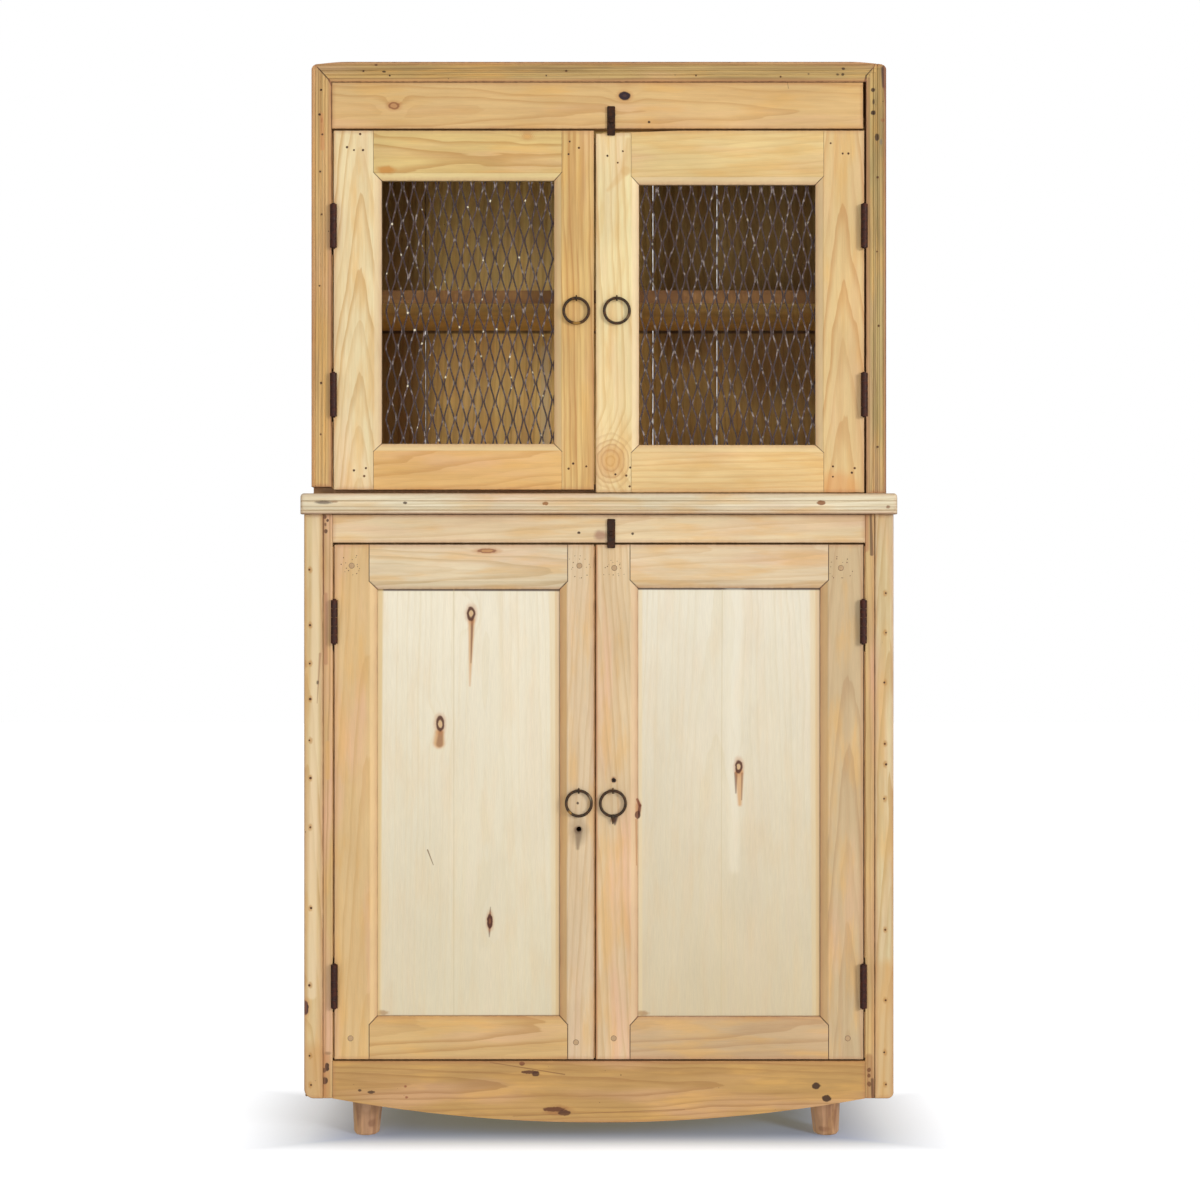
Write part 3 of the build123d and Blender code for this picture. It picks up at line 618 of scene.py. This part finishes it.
def paint_base_doors():
    left = joint_lines("base_left")
    right = joint_lines("base_right")
    pine(
        "base_left_stile_outer", bevel=(226, 192, 140), pale=(217, 183, 130), late=(199, 154, 92),
        pith=(20, 20), ring=12, taper=0.06, figure=0.45, rosy=0.2, marks=left,
    )
    pine(
        "base_left_stile_inner", bevel=(206, 164, 108), pale=(218, 193, 156), late=(197, 160, 115),
        pith=(60, 30), figure=0.45,
        marks=[
            *left, Spot(-36, 546, 40, 60, (150, 124, 92), 0.5), Spot(-36, 548, 19, 19, (112, 84, 60), 0.8),
            Streak(-35, 548, -37, 516, 13, 5, (112, 90, 66), 0.6), Spot(-37, 595, 5, 5, GRIME_AND_SHADE, 0.9),
        ],
    )
    pine(
        "base_left_rail_top", pale=(224, 205, 170), late=(197, 165, 119), grain="level", pith=(-6, 14),
        ring=11, figure=0.6, marks=[*left, Knot(-195, 1036, 34, 8, "brown")],
    )
    pine(
        "base_left_rail_bottom", pale=(213, 176, 118), late=(187, 141, 84), grain="level", pith=(20, 20),
        ring=14, taper=0.06, marks=left,
    )
    edge_knot = [
        Spot(69, 586, 15, 40, RESIN, 0.6),
        Streak(67, 601, 72, 590, 4, 5, (122, 56, 24), 0.9),
        Streak(72, 590, 70, 576, 5, 5, (104, 46, 18), 0.9),
        Spot(68, 574, 11, 15, (76, 34, 14), 0.95),
        Streak(65, 566, 66, 486, 2.4, 1.6, (176, 124, 62), 0.7),
    ]
    pine(
        "base_right_stile_inner", bevel=(221, 189, 148), pale=(220, 194, 154), late=(198, 157, 106),
        pith=(-50, 24), ring=10, figure=0.5, rosy=0.2,
        marks=[
            *right, Streak(-5, 1047, -5, 147, 5, 5, (178, 116, 62), 0.7), *edge_knot,
            Spot(25, 566, 15, 14, RUST, 0.6), Spot(26, 636, 13, 15, RUST, 0.7),
            Spot(26, 635, 8.5, 9, (30, 16, 8), 0.97), Streak(28, 570, 28, 558, 11, 2.5, (58, 28, 18), 0.9),
        ],
    )
    pine(
        "base_right_stile_outer", bevel=(204, 166, 114), pale=(201, 175, 134), late=(177, 138, 96),
        pith=(10, 16), ring=12, taper=0.07, figure=0.5, marks=right,
    )
    pine(
        "base_right_rail_top", pale=(224, 201, 164), late=(203, 166, 119), grain="level", pith=(30, 24),
        ring=12, figure=0.45, marks=right,
    )
    pine(
        "base_right_rail_bottom", pale=(202, 170, 128), late=(177, 135, 91), grain="level", pith=(20, 20),
        ring=13, figure=0.5, marks=right,
    )
    scrubbed = dict(figure=0.3, streaks=0.12, rosy=0.02, honey=0.035, blotch=0.03, edge=0.0, relief=0.18)
    pine(
        "base_left_panel", pale=(238, 228, 204), late=(220, 202, 161), end=(218, 205, 174), pith=(30, 60),
        taper=0.015, warp=4, **scrubbed,
        marks=[
            *panel_edge_shade_and_dirt("base_left"),
            Streak(-384, 968, -386, 222, 12, 5, (216, 182, 118), 0.6),
            Streak(-254, 968, -254, 222, 1.4, 1.2, (196, 178, 130), 0.5),
            Streak(-223, 914, -226, 800, 12, 2, AMBER, 0.65),
            Streak(-222, 914, -224, 840, 5, 1.4, SCORCH, 0.7), Knot(-224, 926, 15, 25, "pale"),
            Streak(-279, 716, -280, 700, 16, 20, AMBER, 0.75),
            Streak(-277, 718, -279, 698, 8, 12, SCORCH, 0.55), Knot(-278, 733, 15, 27, "pale"),
            Streak(-191, 388, -190, 412, 6, 0.8, KNOT_BARK, 0.8),
            Streak(-191, 388, -192, 360, 7, 0.8, KNOT_BARK, 0.8), Knot(-191, 387, 10, 26, "dark"),
            Streak(-300, 512, -290, 486, 2.4, 1.2, (120, 84, 48), 0.8),
        ],
    )
    pine(
        "base_right_panel", pale=(232, 223, 201), late=(215, 198, 159), end=(209, 192, 158), pith=(-20, 50),
        ring=10, taper=0.03, warp=7, **scrubbed,
        marks=[
            *panel_edge_shade_and_dirt("base_right"),
            *edge_knot, Streak(216, 968, 214, 222, 1.6, 1.4, (204, 186, 140), 0.5),
            Streak(238, 1000, 236, 480, 34, 16, (246, 240, 222), 0.25),
            Streak(246, 648, 247, 592, 15, 6, AMBER, 0.7), Streak(240, 646, 240, 612, 6, 2, SCORCH, 0.7),
            Streak(251, 646, 250, 600, 4, 2, SCORCH, 0.5), Knot(245, 658, 13, 24, "pale"),
        ],
    )


# How far in from its outer edge each groove of the upper strips lies, and up from its foot on the waist.
REEDS = (12, 19, 29)
WAIST_REEDS = (6, 12, 22.5)


def paint_carcass():
    pine(
        "upper_header_rail", pale=(219, 182, 123), late=(194, 145, 85), grain="level", pith=(-10, 16),
        ring=13, taper=0.04, warp=9, figure=0.6,
        marks=[
            Knot(-359, 1816, 20, 13, "brown"), Knot(45, 1833, 20, 15, "black"),
            Spot(88, 1787, 5, 5, GRIME_AND_SHADE, 0.95), Streak(330, 1858, 332, 1846, 1.2, 1.2, GRIME_AND_SHADE, 0.5),
        ],
    )
    pine(
        "base_header_rail", pale=(229, 205, 163), late=(207, 171, 123), grain="level", pith=(20, 18),
        ring=12, taper=0.04, figure=0.45,
        marks=[
            Spot(-35, 1067.5, 6, 5, GRIME_AND_SHADE, 0.95), Spot(59, 1066, 5, 5, GRIME_AND_SHADE, 0.9),
            Spot(4, 1062, 34, 26, (150, 100, 84), 0.65),
        ],
    )
    pine(
        "apron", pale=(191, 149, 88), late=(156, 108, 56), grain="level", pith=(10, 16), taper=0.03, warp=6,
        figure=0.5, worm=0.1,
        marks=[
            Streak(-190, 142, -60, 121, 1.4, 2.2, (120, 76, 42), 0.6),
            Spot(-120, 125, 34, 7, (86, 44, 20), 0.9), Spot(-110, 122, 15, 10, (74, 38, 18), 0.9),
            Spot(-134, 140, 11, 8, (112, 60, 30), 0.9), Spot(-72, 58, 64, 22, (156, 98, 54), 0.6),
            Spot(-78, 60, 44, 9, (96, 52, 26), 0.9), Spot(-60, 54, 24, 11, (80, 42, 20), 0.9),
            Streak(-100, 160, 40, 162, 6, 12, (166, 104, 62), 0.4),
            Streak(-150, 48, 150, 60, 1.4, 1.4, (130, 88, 52), 0.5), Spot(380, 101, 17, 12, GRIME_AND_SHADE, 0.95),
            Spot(398, 79, 17, 13, GRIME_AND_SHADE, 0.95), Spot(-418, 93, 7, 5, GRIME_AND_SHADE, 0.85),
            Spot(-398, 90, 14, 6, GRIME_AND_SHADE, 0.85), Spot(-338, 100, 7, 6, (140, 70, 44), 0.8),
            Spot(-336, 81, 7, 6, (140, 70, 44), 0.8),
        ],
    )
    weathered = dict(worm=0.2, edge=0.6, streaks=0.6, figure=0.5, ring=7, taper=0.01, relief=0.4)
    top = cad_box[1][2] / MM
    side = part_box("upper_strip_right")[1].x / MM
    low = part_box("upper_strip_right")[0].z / MM
    # Dark lines painted along the strips' grooves, as shade in them.
    groove = (120, 84, 48)
    painted_groove_shade = []
    for reed in REEDS:
        x, z = side - reed, top - reed
        painted_groove_shade.append(Streak(-x, low, -x, z, 1.6, 1.6, groove, 0.4))
        painted_groove_shade.append(Streak(x, low, x, z, 1.6, 1.6, groove, 0.4))
        painted_groove_shade.append(Streak(-x, z, x, z, 1.5, 1.5, groove, 0.35))
    mitres = [
        *painted_groove_shade,
        Streak(-493, 1883, -472, 1860, 1.6, 2.2, GRIME_AND_SHADE, 0.9),
        Streak(-472, 1860, -468, 1850, 3.0, 1.5, GRIME_AND_SHADE, 0.9),
        Streak(482, 1884, 468, 1868, 1.2, 2.0, GRIME_AND_SHADE, 0.85),
        Streak(468, 1868, 466, 1856, 2.4, 4.5, GRIME_AND_SHADE, 0.9),
    ]
    pine(
        "upper_strip_left", pale=(212, 174, 112), late=(160, 118, 66), pith=(50, 20),
        marks=[
            *mitres, Spot(-485, 1790, 5, 12, (150, 84, 50), 0.6),
            Streak(-485, 1800, -484, 1740, 6, 7, (208, 136, 84), 0.5),
        ],
        **weathered,
    )
    pine(
        "upper_strip_right", pale=(187, 163, 105), late=(129, 101, 56), pith=(-50, 20),
        marks=[
            *mitres, Spot(480, 1843, 8, 8, GRIME_AND_SHADE, 0.9), Spot(481, 1822, 5, 13, GRIME_AND_SHADE, 0.8),
            Spot(480, 1803, 9, 9, GRIME_AND_SHADE, 0.95), Spot(487, 1760, 9, 14, GRIME_AND_SHADE, 0.85),
            Spot(494, 1752, 8, 14, GREY_WOOD, 0.8), Spot(497, 1790, 10, 8, (156, 100, 60), 0.7),
            Streak(499, 1880, 500, 1850, 10, 8, (58, 34, 46), 0.85),
            Streak(501, 1850, 502, 1815, 5, 2.5, (58, 34, 46), 0.85),
            Streak(502, 1815, 502, 1140, 2.5, 3.5, (92, 66, 50), 0.7),
        ],
        **weathered,
    )
    pine(
        "upper_strip_top", pale=(200, 168, 107), late=(137, 105, 59), grain="level", pith=(40, 20),
        marks=[
            *mitres, Spot(-390, 1887, 6, 4, GRIME_AND_SHADE, 0.85), Spot(-376, 1875, 8, 4, GRIME_AND_SHADE, 0.9),
            Spot(428, 1880, 7, 5, GRIME_AND_SHADE, 0.9), Spot(418, 1870, 7, 5, GRIME_AND_SHADE, 0.8),
            Spot(427, 1870, 6, 5, GRIME_AND_SHADE, 0.85), Spot(367, 1871, 5, 4, GRIME_AND_SHADE, 0.7),
        ],
        **weathered,
    )
    waist_low, waist_high = corners_of("waist_moulding")
    # Dark lines painted along the waist moulding's grooves, as shade in them.
    painted_reed_shade = [
        Streak(waist_low.x, waist_low.z + up, waist_high.x, waist_low.z + up, 1.7, 1.3, (140, 104, 62), 0.5)
        for up in WAIST_REEDS
    ]
    pine(
        "waist_moulding", pale=(230, 217, 186), late=(194, 168, 121), grain="level", pith=(40, 20),
        worm=0.06, edge=0.3, streaks=0.4, figure=0.4, ring=8, taper=0.01,
        marks=[
            *painted_reed_shade,
            Streak(waist_low.x, waist_low.z + 1, waist_high.x, waist_low.z + 1, 2.4, 2.0, (120, 84, 48), 0.6),
            Spot(-479, 1120, 40, 8, (96, 78, 64), 0.8), Spot(-460, 1121, 16, 6, (150, 104, 64), 0.6),
            Spot(-337, 1119, 8, 5, GRIME_AND_SHADE, 0.85), Spot(-93, 1118, 12, 7, (150, 96, 44), 0.9),
            Spot(387, 1119, 16, 9, (140, 84, 40), 0.9), Spot(503, 1112, 9, 8, (130, 84, 52), 0.8),
        ],
    )
    post_marks = {
        "left": [
            Streak(-494, 1100, -501, 260, 13, 15, (234, 210, 170), 0.6),
            Streak(-516, 1100, -516, 700, 9, 9, (220, 182, 110), 0.6),
            Streak(-500, 150, -500, 20, 50, 60, (198, 144, 84), 0.45),
            Streak(-487, 856, -492, 770, 4, 1.2, (150, 98, 66), 0.55),
            Spot(-491, 806, 6, 10, GRIME_AND_SHADE, 0.8),
            Spot(-514, 838, 15, 18, (176, 130, 62), 0.55),
            Knot(-512, 238, 10, 24, "black"),
        ],
        "right": [
            Streak(517, 1100, 517, 640, 9, 7, (226, 208, 184), 0.6),
            Streak(500, 300, 500, 20, 40, 60, (202, 148, 84), 0.45),
        ],
    }
    for side, x, pale in (("left", -1, (219, 193, 143)), ("right", 1, (218, 199, 154))):
        nail_x, heights = POST_NAILS[side]
        pine(
            f"base_post_{side}", pale=pale, late=(194, 156, 98), pith=(x * 12, 14), ring=11, taper=0.06,
            warp=7, worm=0.06, edge=0.4, streaks=0.5,
            marks=post_marks[side] + [Spot(nail_x, z, 10, 16, (184, 132, 66), 0.7) for z in heights],
        )
    pine(
        "base_inner_strips", pale=(208, 174, 118), late=(173, 130, 78), pith=(40, 30), ring=8, taper=0.01,
        rosy=0.25,
        marks=[
            Spot(-479, 1095, 7, 8, GRIME_AND_SHADE, 0.85), Spot(-474, 1089, 5, 6, GRIME_AND_SHADE, 0.85),
            Spot(-478, 1082, 6, 8, GRIME_AND_SHADE, 0.8), Spot(-477, 1070, 7, 8, GRIME_AND_SHADE, 0.9),
            Streak(-481, 1100, -481, 960, 2.5, 2, (120, 84, 66), 0.7),
            Streak(-479, 150, -479, 90, 18, 20, (190, 126, 70), 0.5), Spot(-475, 134, 9, 15, GRIME_AND_SHADE, 0.95),
            Spot(-480, 128, 7, 9, GRIME_AND_SHADE, 0.9), Spot(-479, 110, 12, 14, GRIME_AND_SHADE, 0.95),
            Spot(-474, 158, 16, 8, (150, 112, 74), 0.7),
            Streak(-477, 960, -477, 840, 6, 7, (166, 108, 78), 0.5),
            Streak(-474, 700, -474, 640, 8, 9, (216, 168, 100), 0.6),
            Streak(475, 1100, 477, 1030, 4, 6, GRIME_AND_SHADE, 0.75),
            Streak(466, 1100, 466, 1040, 12, 12, (176, 116, 80), 0.6), Spot(472, 129, 8, 9, GRIME_AND_SHADE, 0.9),
            Spot(472, 119, 7, 8, GRIME_AND_SHADE, 0.9), Spot(472, 104, 8, 10, GRIME_AND_SHADE, 0.85),
            Streak(472, 150, 474, 82, 14, 14, (150, 92, 50), 0.5),
            Streak(478, 112, 479, 82, 5, 6, GRIME_AND_SHADE, 0.8),
        ],
    )
    pine(
        "feet", pale=(190, 146, 108), late=(120, 78, 50), pith=(80, 60), ring=18, warp=12, edge=0.0,
        worm=0.2, figure=0.2, streaks=0.6, blotch=0.28,
        marks=[
            Spot(-430, 34, 16, 60, (124, 82, 58), 0.55), Spot(-402, 22, 18, 20, (116, 74, 50), 0.5),
            Spot(-412, 55, 22, 30, (206, 164, 128), 0.5), Spot(392, 50, 14, 50, (206, 160, 120), 0.5),
            Spot(420, 30, 16, 60, (120, 74, 48), 0.55), Spot(398, 12, 30, 14, (126, 80, 54), 0.5),
        ],
    )


def paint_old_boards():
    """The inside, the back and the sides: unfinished boards, darkened with age, with painted light and shade
    on the upper back planks.
    """
    old = dict(worm=0.1, edge=0.5, streaks=0.6, blotch=0.16, rosy=0.05, shine=0.68, relief=0.5)
    planks = dict(pith=(60, 40), ring=12, **old)
    flat = dict(grain="flat", pith=(30, 30), ring=14, warp=10, **old)
    inside = dict(pale=(243, 208, 128), late=(191, 152, 86))
    sides = dict(pale=(176, 140, 96), late=(134, 98, 62), honey=0.05)
    shaded = (104, 60, 28)
    plank_tones_light_and_shade = [
        # Pale lines painted along the gap at x -337, as light showing through it.
        Streak(-337, 1500, -337, 1860, 3, 3, (168, 160, 138), 0.4),
        Streak(-337, 1137, -337, 1477, 3, 3, (176, 168, 146), 0.6),
        Streak(-422, 1100, -422, 1900, 163, 163, shaded, 0.56),
        Streak(-422, 1100, -422, 1440, 163, 163, (84, 38, 10), 0.35),
        Streak(168, 1477, 168, 1900, 124, 124, shaded, 0.56),
        Streak(368, 1477, 368, 1900, 272, 272, shaded, 0.56),
        Streak(168, 1100, 168, 1440, 124, 124, shaded, 0.3),
        Streak(368, 1100, 368, 1440, 272, 272, shaded, 0.3),
        # A pale band painted as light coming through the gap beside it.
        Streak(-106, 1440, -106, 1150, 14, 22, (240, 226, 184), 0.5),
        # The upper shelf's shadow, painted as a dark line on the back planks under it.
        Streak(-503, 1476, 503, 1476, 9, 9, (40, 24, 16), 0.75),
    ]
    pine("upper_back_planks", **inside, **planks, marks=plank_tones_light_and_shade, mark_depth=6)
    pine("base_back_planks", **inside, **planks)
    for node in ("upper_side_left", "upper_side_right", "base_side_left", "base_side_right"):
        pine(node, **sides, grain="upright side", pith=(40, 30), ring=14, taper=0.04, warp=10, **old)
    # The shelves' pale bevel colour is painted light on their undersides, as if lit from below.
    for node in ("upper_shelf", "base_shelf"):
        pine(node, pale=(176, 134, 53), late=(139, 98, 36), bevel=(250, 221, 146), **flat)
    for node in ("base_floor_board", "door_stops"):
        pine(node, **inside, **flat)
    pine("upper_bottom_board", pale=(255, 214, 158), late=(226, 170, 112), **flat)
    tops = dict(flat, ring=16, taper=0.04, warp=12, edge=0.25)
    for node in ("upper_top_board", "base_top_board"):
        pine(node, **sides, **tops)


def paint_ironwork():
    dark = iron("dark_iron_hinges", (54, 29, 23), (78, 38, 24), metallic=0.3)
    dress(dark, "carcass_hinges", *(f"{door}_hinge_leaves" for door in DOORS))
    buttons = iron("dark_iron_buttons", (44, 24, 10), (72, 38, 13), metallic=0.35)
    dress(buttons, "upper_turn_button", "lower_turn_button", "button_pivots")
    brass = (178, 134, 66)
    rings = iron(
        "ring_iron_worn", (62, 52, 42), (96, 66, 42), metallic=0.6,
        patches=[
            Spot(-39, 1434, 20, 9, brass, 0.9),
            Spot(-52, 577, 12, 14, brass, 0.8),
            Spot(-16, 604, 8, 20, (150, 132, 104), 0.6),
            Spot(50, 1446, 10, 16, (140, 116, 84), 0.5),
        ],
    )
    dress(rings, *(f"{door}_ring" for door in DOORS), *(f"{door}_staple" for door in DOORS))


# Tack nails at the corners of the upper doors, (x, z).
TACKS = {
    "upper_left": (
        (-441, 1743), (-429, 1738), (-413, 1738), (-418, 1766),
        (-429, 1177), (-408, 1181), (-411, 1167),
        (-51, 1753), (-35, 1742), (-53, 1731),
        (-45, 1189), (-53, 1180), (-22, 1184),
    ),
    "upper_right": (
        (15, 1728), (42, 1736), (33, 1716),
        (55, 1182), (29, 1170), (48, 1168), (54, 1149),
        (406, 1750), (427, 1732), (437, 1732),
        (410, 1184), (410, 1166), (448, 1181), (443, 1173),
    ),
}
PEGS = {
    "base_left": ((-432, 1010), (-34, 1010), (-434, 184), (-40, 177)),
    "base_right": ((27, 1006), (423, 1006), (26, 184), (435, 184)),
}
POST_NAILS = {
    "left": (-504, (1003, 906, 839, 777, 705, 639, 553, 412, 277, 154, 103)),
    "right": (500, (962, 893, 806, 699, 663, 603, 374, 251, 160, 104)),
}
STRIP_NAILS = (
    (-486, 1843), (-489, 1800), (-484, 1765), (-488, 1700), (-485, 1625), (-489, 1500), (-486, 1330),
    (-487, 1240), (488, 1690), (487, 1560), (490, 1430), (488, 1218),
    (-412, 1876), (-366, 1868), (-92, 1868), (-57, 1876), (170, 1868), (318, 1866),
)


def add_fixings():
    """Pegs, tacks and nails, which are too small for the solids."""
    peg_wood = mottled("peg_end_grain", (1.2, 1.2, 1.2), (204, 172, 130), (166, 128, 88), 0.5, 0.7, 0.3)
    gap = mottled("peg_gap_grime", (2, 2, 2), GRIME_AND_SHADE, (118, 88, 60), 0.7, 0.85, 0.2, detail=2)
    nail_iron = iron("nail_iron", (74, 46, 26), (116, 74, 40), metallic=0.1)

    chance = random.Random(4)
    peg_profile = ((5.0, 0.02), (4.4, 0.12), (4.1, 0.3), (2.2, 0.42))
    nail_profile = ((1.7, 0.02), (1.5, 0.2), (0.7, 0.3))
    for door, pegs in PEGS.items():
        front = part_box(f"{door}_rail_top")[0].y / MM
        places = [(x, front, z, 1.0) for x, z in pegs]
        piece = turned_studs(f"{door}_pegs", places, peg_profile, [gap, peg_wood], (0, 1, 1), sides=20)
        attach(piece, f"{door}_door")
        pricks = []
        for x, z in pegs[:2]:
            for step in range(15):
                angle = math.radians(24 * step + chance.uniform(-18, 18))
                away = chance.uniform(9, 22)
                size = chance.uniform(0.35, 0.6)
                pricks.append((x + away * math.cos(angle), front, z + away * math.sin(angle), size))
        piece = turned_studs(f"{door}_nail_pricks", pricks, nail_profile, [nail_iron], (0, 0), sides=8)
        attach(piece, f"{door}_door")
    for door, tacks in TACKS.items():
        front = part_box(f"{door}_rail_top")[0].y / MM
        places = [(x, front, z, chance.uniform(0.95, 1.3)) for x, z in tacks]
        piece = turned_studs(f"{door}_tacks", places, nail_profile, [nail_iron], (0, 0))
        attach(piece, f"{door}_door")
    places = []
    for side, (x, heights) in POST_NAILS.items():
        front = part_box(f"base_post_{side}")[0].y / MM
        places += [(x + chance.uniform(-2, 2), front, z, chance.uniform(0.8, 1.4)) for z in heights]
    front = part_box("upper_strip_top")[0].y / MM
    places += [(x, front, z, chance.uniform(0.7, 1.3)) for x, z in STRIP_NAILS]
    piece = turned_studs("carcass_nails", places, nail_profile, [nail_iron], (0, 0))
    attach(piece, "cabinet")


# Where old dirt closes the gaps between the upper back planks: the gap's middle, and its lowest and
# highest closed stretch with the share of it that is closed.
CLOSED_GAPS = (
    (-340, 1500, 1870, 1.0), (-341.3, 1140, 1470, 1.0),
    (103.9, 1140, 1480, 1.0), (103.9, 1510, 1870, 1.0),
    (229.4, 1140, 1480, 1.0), (229.4, 1500, 1870, 1.0), (231, 1570, 1680, 0.6),
)


def add_gap_dirt():
    """Dirt and splinters stuck in the gaps between the upper back planks."""
    material = mottled("gap_dirt", (3, 3, 8), (84, 58, 36), (150, 118, 78), 0.75, 0.9, 0.4)
    front, back = (corner.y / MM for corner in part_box("upper_back_planks"))
    chance = random.Random(11)
    vertices, faces = [], []
    for x, low, high, share in CLOSED_GAPS:
        z = low
        while z < high:
            length = chance.uniform(12, 60)
            if chance.random() < share:
                rows = max(3, round(length / 6))
                base = len(vertices)
                for row in range(rows):
                    half = chance.uniform(0.8, 1.5)
                    level = min(z + length * row / (rows - 1), high)
                    for side, y in ((-1, front + 2), (1, front + 2), (1, back - 2), (-1, back - 2)):
                        vertices.append((x + side * half, y, level))
                faces += square_tube(base, rows)
            z += length
    piece = mesh_piece("gap_dirt", vertices, faces, [material])
    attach(piece, "cabinet")


# Old wax and dirt in the gaps beside the doors: the body that holds it, its name, the gap's side that it
# sticks to and the side that it reaches towards, the front, and its lowest and highest points.
BASE_SPANS = ((150, 230), (325, 860), (950, 1044))
WAX = (
    ("base_left_door", "base_meeting_wax", -8.4, -6.3, -214, ((150, 1044),)),
    ("cabinet", "base_left_wax", -465.4, -463.6, -214, BASE_SPANS),
    ("cabinet", "base_right_wax", 465.4, 463.6, -214, BASE_SPANS),
    ("cabinet", "upper_left_wax", -467.9, -466.2, -206, ((1146, 1262), (1356, 1555), (1646, 1768))),
)


def add_wax():
    material = mottled("old_wax", (3, 3, 20), (132, 84, 42), (192, 142, 82), 0.5, 0.7, 0.3)
    chance = random.Random(12)
    for body, name, held, free, front, spans in WAX:
        near, far = front + 1.2, front + 6
        vertices, faces = [], []
        for low, high in spans:
            rows = round((high - low) / 9)
            base = len(vertices)
            for row in range(rows):
                reach = held + (free - held) * chance.uniform(0.6, 1.0)
                level = low + (high - low) * row / (rows - 1)
                left, right = sorted((held, reach))
                for x, y in ((left, near), (right, near), (right, far), (left, far)):
                    vertices.append((x, y, level))
            faces += square_tube(base, rows)
        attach(mesh_piece(name, vertices, faces, [material]), body)


def add_area_light(name, place, target, size, power):
    light = bpy.data.lights.new(name, "AREA")
    light.shape = "DISK"
    light.size = size
    light.energy = power
    lamp = bpy.data.objects.new(name, light)
    bpy.context.scene.collection.objects.link(lamp)
    lamp.location = place
    lamp.rotation_euler = (Vector(target) - lamp.location).to_track_quat("-Z", "Y").to_euler()


def set_daylight():
    """Even daylight all round, a soft key light from the right and a low one in front."""
    bpy.context.scene.view_settings.view_transform = "Standard"
    world = bpy.data.worlds.new("daylight")
    world.use_nodes = True
    sky = Nodes(world.node_tree)
    background = sky.tree.nodes["Background"]
    background.inputs["Color"].default_value = (1.0, 1.0, 1.0, 1.0)
    direction = sky.node("ShaderNodeTexCoord", {}).outputs["Generated"]
    lighting = sky.slide(sky.parts(direction)[2], *HORIZON, *DAYLIGHT)
    seen = sky.node("ShaderNodeLightPath", {}).outputs["Is Camera Ray"]
    sky.feed(background.inputs["Strength"], sky.math("MAXIMUM", lighting, seen))
    bpy.context.scene.world = world
    add_area_light("key_light", (5.5, -6.0, 2.6), (0, 0, 1.0), 2.2, 280)
    add_area_light("low_front_light", (-0.8, -5.0, 0.5), (0, 0, 1.1), 3.0, 72)


def add_floor():
    """A white floor that glows, with the cupboard's shadow painted on it: the glow fades out under the
    cupboard, beside it and close behind it, and the floor there turns bluish.
    """
    half = FLOOR_REACH / MM
    corners = [(-half, -half, 0), (half, -half, 0), (half, half, 0), (-half, half, 0)]
    paint = Paint("studio_floor")
    cloud = paint.noise(paint.place, (900, 900, 900))
    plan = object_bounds()[1] / MM
    beyond = paint.vector("SUBTRACT", paint.vector("ABSOLUTE", paint.place), (plan.x, plan.y, 0))
    outside = paint.parts(beyond)
    # The painted shadow's edges beside, in front of and behind the cupboard.
    beside = paint.ease(outside[0], -190, 220)
    before = paint.ease(outside[1], -100, 80)
    back_half = paint.ease(paint.parts(paint.place)[1], 0, 220)
    behind = paint.times(back_half, paint.ease(outside[0], -20, 40))
    painted_light_share = paint.math("MAXIMUM", paint.math("MAXIMUM", beside, before), behind)
    # Bluish inside the painted shadow, neutral grey-white where the floor glows.
    colour = paint.mix(paint.ease(painted_light_share, 0.0, 0.5), (175, 199, 242), (206, 210, 216))
    roughness = paint.slide(cloud, 0, 1, 0.7, 0.8)
    material = paint.finish(colour, roughness, cloud, 0.01)
    # The glow is painted light, left out where the shadow is painted.
    painted_floor_glow = paint.times(painted_light_share, 0.75)
    paint.feed(paint.shader.inputs["Emission Strength"], painted_floor_glow)
    paint.shader.inputs["Emission Color"].default_value = (1.0, 1.0, 1.0, 1.0)
    floor = mesh_piece("studio_floor", corners, [(0, 1, 2, 3)], [material])
    floor.visible_diffuse = False
    floor.visible_glossy = False


def add_camera():
    camera_data = bpy.data.cameras.new("camera")
    camera_data.lens = LENS
    camera_data.sensor_width = SENSOR_WIDTH
    camera = bpy.data.objects.new("camera", camera_data)
    bpy.context.scene.collection.objects.link(camera)
    camera.location = CAMERA_PLACE
    camera.rotation_euler = (math.radians(90), 0, 0)
    bpy.context.scene.camera = camera


set_daylight()
add_floor()
add_camera()
paint_upper_doors()
paint_base_doors()
paint_carcass()
paint_old_boards()
paint_ironwork()
strands = mesh_metal()
expanded_metal("upper_left", -365, 1645, strands)
expanded_metal("upper_right", 82, 1640, strands)
add_fixings()
add_gap_dirt()
add_wax()
